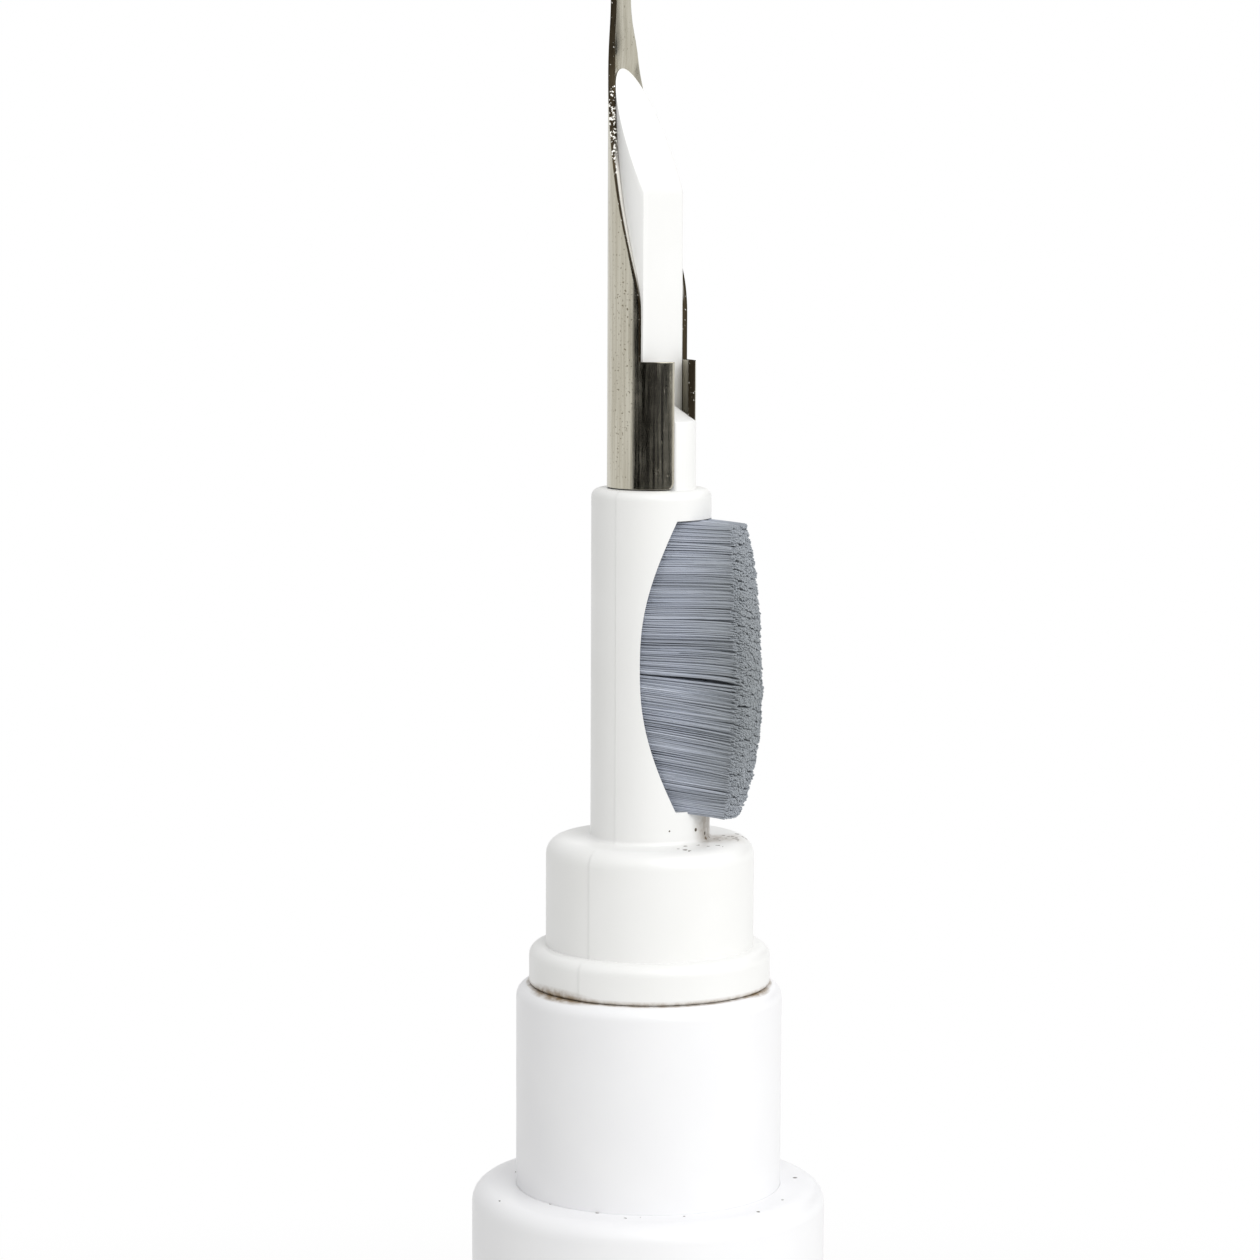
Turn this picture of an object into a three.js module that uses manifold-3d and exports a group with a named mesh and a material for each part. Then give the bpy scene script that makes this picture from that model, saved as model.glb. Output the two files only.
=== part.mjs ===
// Double-ended cleaning pen for phones and earbuds.
// Front: a push-in head with a rolled steel scraper nib and a side brush. Rear: a flocked sponge
// under a pull-off cap. Millimetres, +Z up along the pen, origin at the centre of the rear cap's
// end face. The brush and the open side of the nib face -Y.

import * as THREE from 'three';
import { mergeVertices } from 'three/addons/utils/BufferGeometryUtils.js';
import Module from 'manifold-3d';

const wasm = await Module();
wasm.setup();

// Driving dimensions: diameters
const BODY_DIAMETER = 14.4;
const NECK_DIAMETER = 10.8;
const FLANGE_DIAMETER = 9.75;
const COLLAR_DIAMETER = 8.4;
const SHAFT_DIAMETER = 4.8;
const NIB_DIAMETER = 3.55;
const SPONGE_DIAMETER = 6.8;

// Driving dimensions: lengths along the pen
const REAR_CAP_LENGTH = 27;
const SLEEVE_LENGTH = 43.2;
const NECK_LENGTH = 8.2;
const REAR_NECK_LENGTH = 7;
const SOCKET_DEPTH = 8.8;
const FLANGE_THICKNESS = 1.58;
const COLLAR_LENGTH = 4.4;
const SHAFT_LENGTH = 14.15;
const NIB_LENGTH = 23;
const BRUSH_LENGTH = 11.4;
const SPONGE_LENGTH = 11.2;

// Walls, gaps and rounded edges
const NECK_WALL = 0.7;
const TUBE_WALL = 1.35;
const CAP_END_WALL = 1.8;
const SHEET_THICKNESS = 0.25;
const FIT_GAP = 0.05;
const SEAM_GAP = 0.1;
const FLANGE_GAP = 0.12;
const SEAM_ROUND = 0.3;
const FLANGE_ROUND = 0.45;
const RIM_ROUND = 0.55;
const SHOULDER_ROUND = 0.75;
const CAP_END_ROUND = 1.2;

// Facets
const WIDE_FACETS = 40;
const SLIM_FACETS = 32;
const FINE_FACETS = 24;
const FILLET_STEPS = 3;
const WELD = 1e-4;

// Stations along the pen, from the rear cap's end face
const SLEEVE_REAR_Z = REAR_CAP_LENGTH + SEAM_GAP;
const SHOULDER_Z = REAR_CAP_LENGTH + SLEEVE_LENGTH;
const FRONT_RIM_Z = SHOULDER_Z + NECK_LENGTH;
const REAR_RIM_Z = REAR_CAP_LENGTH - REAR_NECK_LENGTH;
const HEAD_Z = FRONT_RIM_Z + FLANGE_GAP;
const HOLDER_Z = REAR_RIM_Z - FLANGE_GAP;

const abs = new THREE.MeshStandardMaterial({ color: 0xf3f3f1, roughness: 0.38, metalness: 0 });
const steel = new THREE.MeshStandardMaterial({ color: 0xa9a598, roughness: 0.3, metalness: 1 });
const nylon = new THREE.MeshStandardMaterial({ color: 0x8b93a1, roughness: 0.55, metalness: 0 });
const foam = new THREE.MeshStandardMaterial({ color: 0x4a4d52, roughness: 0.95, metalness: 0 });

// A closed three.js geometry as a solid for joining and cutting, with its faces turned outwards.
function solid(geometry) {
  const bare = new THREE.BufferGeometry().setAttribute('position', geometry.getAttribute('position'));
  bare.setIndex(geometry.index);
  const welded = mergeVertices(bare, WELD);
  const point = (i) => new THREE.Vector3().fromBufferAttribute(welded.attributes.position, i);
  const triangles = [];
  let volume = 0;
  for (let i = 0; i < welded.index.count; i += 3) {
    const [a, b, c] = [0, 1, 2].map((k) => welded.index.getX(i + k));
    if (a !== b && b !== c && c !== a) {
      triangles.push([a, b, c]);
      volume += point(a).dot(point(b).cross(point(c)));
    }
  }
  const outward = triangles.flatMap(([a, b, c]) => (volume > 0 ? [a, b, c] : [a, c, b]));
  const triVerts = new Uint32Array(outward);
  const vertProperties = new Float32Array(welded.attributes.position.array);
  return new wasm.Manifold(new wasm.Mesh({ numProp: 3, vertProperties, triVerts }));
}

// A finished solid as a named mesh.
function piece(name, body, material) {
  const { vertProperties, triVerts } = body.getMesh();
  const geometry = new THREE.BufferGeometry();
  geometry.setAttribute('position', new THREE.BufferAttribute(vertProperties, 3));
  geometry.setIndex(new THREE.BufferAttribute(triVerts, 1));
  const mesh = new THREE.Mesh(geometry, material);
  mesh.name = name;
  return mesh;
}

// Straight runs between corners [x, y, fillet], each fillet a curve set back that far from its corner.
function outline(corners) {
  const path = new THREE.Path();
  corners.forEach(([x, y, fillet], i) => {
    const next = corners[i + 1];
    if (i === 0) {
      path.moveTo(x, y);
    } else if (!fillet || !next) {
      path.lineTo(x, y);
    } else {
      const corner = new THREE.Vector2(x, y);
      const into = path.currentPoint.clone().sub(corner).setLength(fillet).add(corner);
      const out = new THREE.Vector2(next[0], next[1]).sub(corner).setLength(fillet).add(corner);
      path.lineTo(into.x, into.y);
      path.quadraticCurveTo(x, y, out.x, out.y);
    }
  });
  return path;
}

// A turned solid about the pen's axis from corners [radius, z, fillet].
function revolve(corners, facets) {
  const turned = new THREE.LatheGeometry(outline(corners).getPoints(FILLET_STEPS), facets);
  return solid(turned.rotateX(Math.PI / 2));
}

// A shape drawn in the front view (x, z), extruded towards -Y between two depths in front of the axis.
function extrudeForward(shape, nearDepth, farDepth) {
  const depth = farDepth - nearDepth;
  const block = new THREE.ExtrudeGeometry(shape, { depth, bevelEnabled: false });
  return solid(block.translate(0, 0, nearDepth).rotateX(Math.PI / 2));
}

// Corners [depth in front of the axis, z, fillet] drawn in the side view, extruded across the pen in X.
function extrudeAcross(corners, width) {
  const shape = new THREE.Shape(outline(corners).getPoints(FILLET_STEPS));
  const block = new THREE.ExtrudeGeometry(shape, { depth: width, bevelEnabled: false });
  return solid(block.translate(0, 0, -width / 2).rotateX(Math.PI / 2).rotateZ(-Math.PI / 2));
}

// Outer sleeve: the barrel's grip, pushed over the inner tube. A front cap stops on its shoulder.
function outerSleeve() {
  const body = BODY_DIAMETER / 2;
  const bore = NECK_DIAMETER / 2 + FIT_GAP;
  return revolve(
    [
      [bore, SLEEVE_REAR_Z],
      [body, SLEEVE_REAR_Z, SEAM_ROUND],
      [body, SHOULDER_Z, SHOULDER_ROUND],
      [bore, SHOULDER_Z],
      [bore, SLEEVE_REAR_Z],
    ],
    WIDE_FACETS,
  );
}

// Inner tube: its bare ends are the necks for the caps, its counterbores hold the two plugs.
const TUBE_RADIUS = NECK_DIAMETER / 2;

function innerTube() {
  const socket = TUBE_RADIUS - NECK_WALL;
  const middle = TUBE_RADIUS - TUBE_WALL;
  return revolve(
    [
      [middle, REAR_RIM_Z + SOCKET_DEPTH],
      [socket, REAR_RIM_Z + SOCKET_DEPTH],
      [socket, REAR_RIM_Z],
      [TUBE_RADIUS, REAR_RIM_Z, RIM_ROUND],
      [TUBE_RADIUS, FRONT_RIM_Z, RIM_ROUND],
      [socket, FRONT_RIM_Z],
      [socket, FRONT_RIM_Z - SOCKET_DEPTH],
      [middle, FRONT_RIM_Z - SOCKET_DEPTH],
      [middle, REAR_RIM_Z + SOCKET_DEPTH],
    ],
    WIDE_FACETS,
  );
}

// Push-in plug: a hollow spigot with crush ribs, and a flange that stands proud of the tube's rim.
// Both ends of the pen use it, in a frame with z = 0 under the flange.
const PLUG_RADIUS = 4.45;
const PLUG_BOTTOM = SEAM_GAP - SOCKET_DEPTH - FLANGE_GAP;
const PLUG_HOLLOW_RADIUS = 3;
const PLUG_HOLLOW_ROUND = 0.8;
const PLUG_LEAD_IN = 0.4;
const CRUSH_RIBS = 8;
const CRUSH_RIB_RADIUS = 0.2;
const CRUSH_RIB_TOP = -0.4;
const CRUSH_RIB_BOTTOM = PLUG_BOTTOM + 1;

function crushRib(index) {
  const length = CRUSH_RIB_TOP - CRUSH_RIB_BOTTOM;
  const angle = ((index + 0.5) * 2 * Math.PI) / CRUSH_RIBS;
  const rib = new THREE.CylinderGeometry(CRUSH_RIB_RADIUS, CRUSH_RIB_RADIUS, length, 6);
  rib.rotateX(Math.PI / 2);
  rib.translate(PLUG_RADIUS * Math.cos(angle), PLUG_RADIUS * Math.sin(angle), CRUSH_RIB_BOTTOM + length / 2);
  return solid(rib);
}

// The corners continue the turned outline above the flange, up to the axis.
function pushInPlug(corners, hollowTop) {
  const flange = FLANGE_DIAMETER / 2;
  const turned = revolve(
    [
      [0, PLUG_BOTTOM],
      [PLUG_RADIUS, PLUG_BOTTOM, PLUG_LEAD_IN],
      [PLUG_RADIUS, 0],
      [flange, 0, SEAM_ROUND],
      [flange, FLANGE_THICKNESS, FLANGE_ROUND],
      ...corners,
    ],
    WIDE_FACETS,
  );
  const hollow = revolve(
    [
      [0, PLUG_BOTTOM - 1],
      [PLUG_HOLLOW_RADIUS, PLUG_BOTTOM - 1],
      [PLUG_HOLLOW_RADIUS, hollowTop, PLUG_HOLLOW_ROUND],
      [0, hollowTop],
    ],
    FINE_FACETS,
  );
  let plug = turned.subtract(hollow);
  for (let i = 0; i < CRUSH_RIBS; i += 1) {
    plug = plug.add(crushRib(i));
  }
  return plug;
}

// Head stem: plug, collar, shaft with the brush socket, and nib core in one moulding.
const COLLAR_TOP = FLANGE_THICKNESS + COLLAR_LENGTH;
const COLLAR_ROUND = 0.7;
const COLLAR_HOLLOW_TOP = COLLAR_TOP - 2;
const SHAFT_TOP = COLLAR_TOP + SHAFT_LENGTH;
const SHAFT_ROUND = 0.35;
const JOIN_DEPTH = 0.5;

function headPlug() {
  const collar = COLLAR_DIAMETER / 2;
  const above = [[collar, FLANGE_THICKNESS], [collar, COLLAR_TOP, COLLAR_ROUND], [0, COLLAR_TOP]];
  return pushInPlug(above, COLLAR_HOLLOW_TOP);
}

// Brush socket: a lens in the front view, blunt at both ends.
const SOCKET_ABOVE_COLLAR = 1.5;
const SOCKET_FLOOR = 0.35;
const BRUSH_HALF_WIDTH = 2.15;
const BRUSH_END_HALF_WIDTH = 1.15;
const BRUSH_MIDDLE_Z = COLLAR_TOP + SOCKET_ABOVE_COLLAR + BRUSH_LENGTH / 2;

function brushLens(inset) {
  const end = BRUSH_END_HALF_WIDTH - inset;
  const bulge = 2 * (BRUSH_HALF_WIDTH - inset) - end;
  const bottom = BRUSH_MIDDLE_Z - BRUSH_LENGTH / 2 + inset;
  const top = BRUSH_MIDDLE_Z + BRUSH_LENGTH / 2 - inset;
  const lens = new THREE.Shape();
  lens.moveTo(-end, bottom);
  lens.lineTo(end, bottom);
  lens.quadraticCurveTo(bulge, BRUSH_MIDDLE_Z, end, top);
  lens.lineTo(-end, top);
  lens.quadraticCurveTo(-bulge, BRUSH_MIDDLE_Z, -end, bottom);
  return lens;
}

function shaft() {
  const radius = SHAFT_DIAMETER / 2;
  const root = COLLAR_TOP - JOIN_DEPTH;
  const post = revolve([[0, root], [radius, root], [radius, SHAFT_TOP, SHAFT_ROUND], [0, SHAFT_TOP]], SLIM_FACETS);
  return post.subtract(extrudeForward(brushLens(0), SOCKET_FLOOR, SHAFT_DIAMETER));
}

// Nib core, with z = 0 at the shaft's top: a D-shaped post with an oblique top, and a key at its foot
// that fills the nib's slit.
const NIB_RADIUS = NIB_DIAMETER / 2;
const CORE_RADIUS = NIB_RADIUS - SHEET_THICKNESS - FIT_GAP;
const CORE_FLAT = 0.56;
const CORE_FRONT_HEIGHT = 11.55;
const CORE_TOP_SLOPE = 2.43;
const KEY_HEIGHT = 2.7;
const KEY_CHAMFER = 0.7;
const SLIT_HALF_ANGLE = THREE.MathUtils.degToRad(24);
const SLIT_HEIGHT = 5.1;

function nibCore() {
  const pillar = (radius, height) =>
    revolve([[0, -JOIN_DEPTH], [radius, -JOIN_DEPTH], [radius, height], [0, height]], SLIM_FACETS);
  const pastBack = -NIB_DIAMETER;
  const side = extrudeAcross(
    [
      [pastBack, -JOIN_DEPTH],
      [CORE_FLAT, -JOIN_DEPTH],
      [CORE_FLAT, CORE_FRONT_HEIGHT],
      [pastBack, CORE_FRONT_HEIGHT + CORE_TOP_SLOPE * (CORE_FLAT - pastBack)],
    ],
    NIB_DIAMETER,
  );
  const slitWidth = 2 * (NIB_RADIUS - SHEET_THICKNESS) * Math.sin(SLIT_HALF_ANGLE);
  const key = extrudeAcross(
    [
      [0, -JOIN_DEPTH],
      [NIB_RADIUS, -JOIN_DEPTH],
      [NIB_RADIUS, KEY_HEIGHT],
      [CORE_FLAT, KEY_HEIGHT + KEY_CHAMFER],
      [0, KEY_HEIGHT + KEY_CHAMFER],
    ],
    slitWidth - 2 * FIT_GAP,
  );
  const post = pillar(CORE_RADIUS, NIB_LENGTH).intersect(side);
  return post.add(key.intersect(pillar(NIB_RADIUS, SLIT_HEIGHT)));
}

function headStem() {
  return headPlug().add(shaft()).add(nibCore().translate([0, 0, SHAFT_TOP]));
}

// Scraper nib: a steel sheet rolled round the core, slit at the foot, cut back above the slit, drawn
// out to a blade and flattened towards its tip. The blade's edges are drawn in the side view as corners
// [depth in front of the axis, z, fillet].
const FOOT_CORNER = 0.3;
const BLADE_EDGE = [
  [CORE_FLAT, SLIT_HEIGHT - JOIN_DEPTH],
  [CORE_FLAT, 7.75, 0.8],
  [-0.86, 12.7, 2.4],
  [-1.42, 17, 1.5],
  [-1.64, 20, 1],
  [-1.69, NIB_LENGTH - 0.8, 0.4],
  [-1.76, NIB_LENGTH],
];
const FLATTEN_FROM = 16.8;
const FLATTEN_TO = 18.8;
const FLATTEN_SHARE = 0.7;
const NIB_COLUMNS = 16;
const BLADE_ROWS = 28;

// Rows of [half angle, z] of a sheet rolled about the axis, with its middle at the back (+Y). Where it
// is flattened, its middle moves towards the straight line between its edges.
function rolledSheet(rows) {
  const arc = NIB_COLUMNS + 1;
  const loop = 2 * arc;
  const positions = [];
  rows.forEach(([halfAngle, z]) => {
    const flatten = FLATTEN_SHARE * THREE.MathUtils.smoothstep(z, FLATTEN_FROM, FLATTEN_TO);
    for (let k = 0; k < loop; k += 1) {
      const outer = k < arc;
      const share = (outer ? k : loop - 1 - k) / NIB_COLUMNS;
      const angle = halfAngle * (2 * share - 1);
      const radius = outer ? NIB_RADIUS : NIB_RADIUS - SHEET_THICKNESS;
      const sunk = flatten * NIB_RADIUS * (Math.cos(angle) - Math.cos(halfAngle));
      positions.push(radius * Math.sin(angle), radius * Math.cos(angle) - sunk, z);
    }
  });
  const faces = [];
  const quad = (a, b, c, d) => faces.push(a, b, c, a, c, d);
  for (let row = 0; row + 1 < rows.length; row += 1) {
    for (let k = 0; k < loop; k += 1) {
      const here = row * loop + k;
      const there = row * loop + ((k + 1) % loop);
      quad(here, here + loop, there + loop, there);
    }
  }
  const last = (rows.length - 1) * loop;
  for (let k = 0; k < NIB_COLUMNS; k += 1) {
    quad(k, k + 1, loop - 2 - k, loop - 1 - k);
    quad(last + k, last + loop - 1 - k, last + loop - 2 - k, last + k + 1);
  }
  const sheet = new THREE.BufferGeometry();
  sheet.setAttribute('position', new THREE.Float32BufferAttribute(positions, 3));
  return solid(sheet.setIndex(faces));
}

function nibFoot() {
  const halfWidth = (Math.PI - SLIT_HALF_ANGLE) * NIB_RADIUS;
  const edge = outline([
    [halfWidth - 2 * FOOT_CORNER, FIT_GAP],
    [halfWidth, FIT_GAP, FOOT_CORNER],
    [halfWidth, SLIT_HEIGHT],
  ]);
  const corner = edge.getPoints(FILLET_STEPS).slice(1);
  return rolledSheet(corner.map((p) => [p.x / NIB_RADIUS, p.y]));
}

function nibBlade() {
  const edge = outline(BLADE_EDGE).getSpacedPoints(BLADE_ROWS);
  return rolledSheet(edge.map((p) => [Math.acos(-p.x / NIB_RADIUS), p.y]));
}

function scraperNib() {
  return nibFoot().add(nibBlade());
}

// Brush: two tufts in the socket, each fused at the roots into its half of the backing.
const BACKING_THICKNESS = 0.8;
const BACKING_DEPTH = SOCKET_FLOOR + FIT_GAP;
const BRISTLE_REACH = 4.05;
const BRISTLE_DOME = 0.22;
const BRISTLE_RADIUS = 0.1;
const BRISTLE_TAPER = 0.8;
const BRISTLE_PITCH = 0.335;
const PARTING = 0.12;
const FAN_UP = THREE.MathUtils.degToRad(1);
const FAN_DOWN = THREE.MathUtils.degToRad(8);
const GOLDEN_ANGLE = Math.PI * (3 - Math.sqrt(5));

function bristle(x, z, twist) {
  const along = (z - BRUSH_MIDDLE_Z) / (BRUSH_LENGTH / 2);
  const fan = along * (along > 0 ? FAN_UP : FAN_DOWN);
  const rootDepth = BACKING_DEPTH + BACKING_THICKNESS / 2;
  const length = BRISTLE_REACH - BRISTLE_DOME * along * along - rootDepth;
  const strand = new THREE.CylinderGeometry(BRISTLE_RADIUS * BRISTLE_TAPER, BRISTLE_RADIUS, length, 3);
  strand.rotateY(twist).translate(0, length / 2, 0);
  strand.rotateX(Math.PI - fan).translate(x, -rootDepth, z);
  return solid(strand);
}

function tuft(upper) {
  const side = upper ? 1 : -1;
  const half = new THREE.BoxGeometry(BODY_DIAMETER, BODY_DIAMETER, BRUSH_LENGTH);
  half.translate(0, 0, BRUSH_MIDDLE_Z + side * (BRUSH_LENGTH / 2 + PARTING / 2));
  const backing = extrudeForward(brushLens(FIT_GAP), BACKING_DEPTH, BACKING_DEPTH + BACKING_THICKNESS);
  const parts = [backing.intersect(solid(half))];
  const rowStep = BRISTLE_PITCH * Math.sin(Math.PI / 3);
  const edgeInset = 2 * BRISTLE_RADIUS + FIT_GAP;
  const firstRow = PARTING / 2 + edgeInset;
  const fanSpread = (SHAFT_DIAMETER / 2 - BACKING_DEPTH) * Math.sin(upper ? FAN_UP : FAN_DOWN);
  const lastRow = BRUSH_LENGTH / 2 - edgeInset - fanSpread;
  const rows = 1 + Math.floor((lastRow - firstRow) / rowStep);
  for (let row = 0; row < rows; row += 1) {
    const offset = firstRow + row * rowStep;
    const share = offset / (BRUSH_LENGTH / 2);
    const bulge = (BRUSH_HALF_WIDTH - BRUSH_END_HALF_WIDTH) * (1 - share * share);
    const halfWidth = BRUSH_END_HALF_WIDTH + bulge - edgeInset;
    const shift = row % 2 ? BRISTLE_PITCH / 2 : 0;
    const first = Math.ceil((-halfWidth - shift) / BRISTLE_PITCH);
    const last = Math.floor((halfWidth - shift) / BRISTLE_PITCH);
    for (let column = first; column <= last; column += 1) {
      const twist = parts.length * GOLDEN_ANGLE;
      parts.push(bristle(column * BRISTLE_PITCH + shift, BRUSH_MIDDLE_Z + side * offset, twist));
    }
  }
  return parts.reduce((joined, part) => joined.add(part));
}

// Sponge holder: the same plug with a short collar and a stem for the sponge.
const STEM_RADIUS = 1.5;
const STEM_LENGTH = 8;
const STEM_ROUND = 0.5;
const STEM_COLLAR_RADIUS = 2.6;
const STEM_COLLAR_TOP = FLANGE_THICKNESS + 0.8;
const STEM_TOP = STEM_COLLAR_TOP + STEM_LENGTH;

function spongeHolder() {
  const above = [
    [STEM_COLLAR_RADIUS, FLANGE_THICKNESS],
    [STEM_COLLAR_RADIUS, STEM_COLLAR_TOP, SEAM_ROUND],
    [STEM_RADIUS, STEM_COLLAR_TOP],
    [STEM_RADIUS, STEM_TOP, STEM_ROUND],
    [0, STEM_TOP],
  ];
  return pushInPlug(above, 0);
}

// Sponge: a blunt bullet of flocked foam pushed on the stem.
const SPONGE_NOSE_ROUND = 3;
const SPONGE_HEEL_ROUND = 0.8;

function flockedSponge() {
  const radius = SPONGE_DIAMETER / 2;
  const bore = STEM_RADIUS + FIT_GAP;
  const boreEnd = STEM_TOP + FIT_GAP;
  const heel = STEM_COLLAR_TOP + FIT_GAP;
  const nose = heel + SPONGE_LENGTH;
  return revolve(
    [
      [0, boreEnd],
      [bore, boreEnd],
      [bore, heel],
      [radius, heel, SPONGE_HEEL_ROUND],
      [radius, nose, SPONGE_NOSE_ROUND],
      [0, nose],
    ],
    SLIM_FACETS,
  );
}

// Rear cap: a straight cup over the sponge, flush with the sleeve.
function rearCap() {
  const outer = BODY_DIAMETER / 2;
  const bore = NECK_DIAMETER / 2 + FIT_GAP;
  return revolve(
    [
      [0, 0],
      [outer, 0, CAP_END_ROUND],
      [outer, REAR_CAP_LENGTH, SEAM_ROUND],
      [bore, REAR_CAP_LENGTH, SEAM_ROUND],
      [bore, CAP_END_WALL, RIM_ROUND],
      [0, CAP_END_WALL],
    ],
    WIDE_FACETS,
  );
}

// Assembly
const nib = new THREE.Group();
nib.position.z = SHAFT_TOP;
nib.add(piece('scraper_nib', scraperNib(), steel));

const head = new THREE.Group();
head.position.z = HEAD_Z;
head.add(
  piece('head_stem', headStem(), abs),
  nib,
  piece('brush_tuft_upper', tuft(true), nylon),
  piece('brush_tuft_lower', tuft(false), nylon),
);

const rear = new THREE.Group();
rear.position.z = HOLDER_Z;
rear.rotation.x = Math.PI;
rear.add(piece('sponge_holder', spongeHolder(), abs), piece('flocked_sponge', flockedSponge(), foam));

const pen = new THREE.Group();
pen.add(
  piece('outer_sleeve', outerSleeve(), abs),
  piece('inner_tube', innerTube(), abs),
  head,
  rear,
  piece('rear_cap', rearCap(), abs),
);

export default pen;
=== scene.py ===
import math

import bmesh
import bpy
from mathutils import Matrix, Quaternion, Vector


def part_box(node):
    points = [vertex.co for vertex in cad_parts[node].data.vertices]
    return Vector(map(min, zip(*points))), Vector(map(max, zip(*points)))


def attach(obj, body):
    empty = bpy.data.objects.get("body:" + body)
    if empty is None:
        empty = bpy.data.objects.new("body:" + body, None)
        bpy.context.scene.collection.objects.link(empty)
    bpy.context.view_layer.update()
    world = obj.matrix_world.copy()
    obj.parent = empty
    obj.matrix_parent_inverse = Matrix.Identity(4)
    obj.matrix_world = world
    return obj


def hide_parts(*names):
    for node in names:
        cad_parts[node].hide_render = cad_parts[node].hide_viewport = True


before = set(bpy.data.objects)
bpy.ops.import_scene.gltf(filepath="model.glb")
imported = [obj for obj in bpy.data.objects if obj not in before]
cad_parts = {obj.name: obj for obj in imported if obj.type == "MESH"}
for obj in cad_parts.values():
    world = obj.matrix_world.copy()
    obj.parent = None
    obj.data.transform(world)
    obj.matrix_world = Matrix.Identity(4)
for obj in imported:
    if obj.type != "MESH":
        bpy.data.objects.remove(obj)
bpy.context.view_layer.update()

# Inner tube
# One straight tube of white ABS that carries both ends of the pen. It is moulded with a counterbore
# at each end for the push-in plugs, and its bare ends are the necks that the caps slide over.
MM = 0.001
tube_low, tube_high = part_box("inner_tube")
NECK_RADIUS = tube_high.x / MM
REAR_RIM = tube_low.z / MM
RIM_RISE = 0.1
FRONT_RIM = tube_high.z / MM + RIM_RISE
NECK_WALL = 0.7
TUBE_WALL = 1.35
SOCKET_RADIUS = NECK_RADIUS - NECK_WALL
MIDDLE_BORE_RADIUS = NECK_RADIUS - TUBE_WALL
SOCKET_DEPTH = 8.8
RIM_ROUND = 0.55
BORE_EDGE_ROUND = 0.08
ARC_STEPS = 6
HOLD = 1.05
COLUMNS = 160
ON_AXIS = 1e-6
SHARP_ANGLE = math.radians(35)
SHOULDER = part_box("outer_sleeve")[1].z / MM


def rounded(corners, longest):
    """Outline points in mm from corners (radius, height, set-back of the rounded edge). A point just
    outside each rounded edge keeps the faces next to it flat."""
    path = []
    for index, (radius, height, setback) in enumerate(corners):
        corner = Vector((radius, height))
        if not setback:
            path.append(corner)
            continue
        back = (Vector(corners[index - 1][:2]) - corner).normalized()
        ahead = (Vector(corners[index + 1][:2]) - corner).normalized()
        start = corner + back * setback
        end = corner + ahead * setback
        weight = math.sqrt((1 - back.dot(ahead)) / 2)
        path.append(corner + back * setback * HOLD)
        for step in range(ARC_STEPS + 1):
            t = step / ARC_STEPS
            shares = ((1 - t) ** 2, 2 * weight * t * (1 - t), t ** 2)
            path.append((start * shares[0] + corner * shares[1] + end * shares[2]) / sum(shares))
        path.append(corner + ahead * setback * HOLD)
    points = [path[0]]
    for point in path[1:]:
        start = points[-1]
        parts = max(1, math.ceil((point - start).length / longest))
        points.extend(start.lerp(point, part / parts) for part in range(1, parts + 1))
    return points


def even_angles(count):
    """Angles about the pen's axis, none of them on the X axis."""
    return [(k + 0.5) * 2 * math.pi / count for k in range(count)]


def skinned(solid, rings):
    """Joins rings of vertices to a closed skin that faces outwards. A ring of one vertex is a pole."""
    pairs = list(zip(rings, rings[1:]))
    if len(rings[0]) > 1 and len(rings[-1]) > 1:
        pairs.append((rings[-1], rings[0]))
    count = max(len(ring) for ring in rings)
    for lower, upper in pairs:
        for k in range(count):
            after = (k + 1) % count
            loop = [lower[k % len(lower)], lower[after % len(lower)],
                    upper[after % len(upper)], upper[k % len(upper)]]
            loop = list(dict.fromkeys(loop))
            if len(loop) > 2:
                solid.faces.new(loop)
    bmesh.ops.recalc_face_normals(solid, faces=solid.faces)
    return solid


def turned(corners, angles=None, longest=1.0):
    """A closed solid turned about the pen's axis from the corners of its outline. An outline off the
    axis closes on itself."""
    angles = angles or even_angles(COLUMNS)
    solid = bmesh.new()
    rings = []
    for radius, height in rounded(corners, longest):
        if radius < ON_AXIS:
            rings.append([solid.verts.new((0, 0, height * MM))])
        else:
            rings.append([
                solid.verts.new((radius * MM * math.cos(a), radius * MM * math.sin(a), height * MM))
                for a in angles
            ])
    return skinned(solid, rings)


def smoothed(mesh):
    """Smooth shading with the real edges left sharp."""
    mesh.shade_smooth()
    mesh.set_sharp_from_angle(angle=SHARP_ANGLE)
    return mesh


def linked(name, data):
    """A new object in the scene, at the origin."""
    new = bpy.data.objects.new(name, data)
    bpy.context.scene.collection.objects.link(new)
    return new


def placed(name, solid):
    """An object that holds a finished solid."""
    mesh = bpy.data.meshes.new(name)
    solid.to_mesh(mesh)
    solid.free()
    return linked(name, smoothed(mesh))


def linear(hex_colour):
    """An sRGB hex colour as the linear values that the nodes take."""
    channels = [int(hex_colour[k:k + 2], 16) / 255 for k in (1, 3, 5)]
    return (*[c / 12.92 if c <= 0.04045 else ((c + 0.055) / 1.055) ** 2.4 for c in channels], 1)


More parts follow.
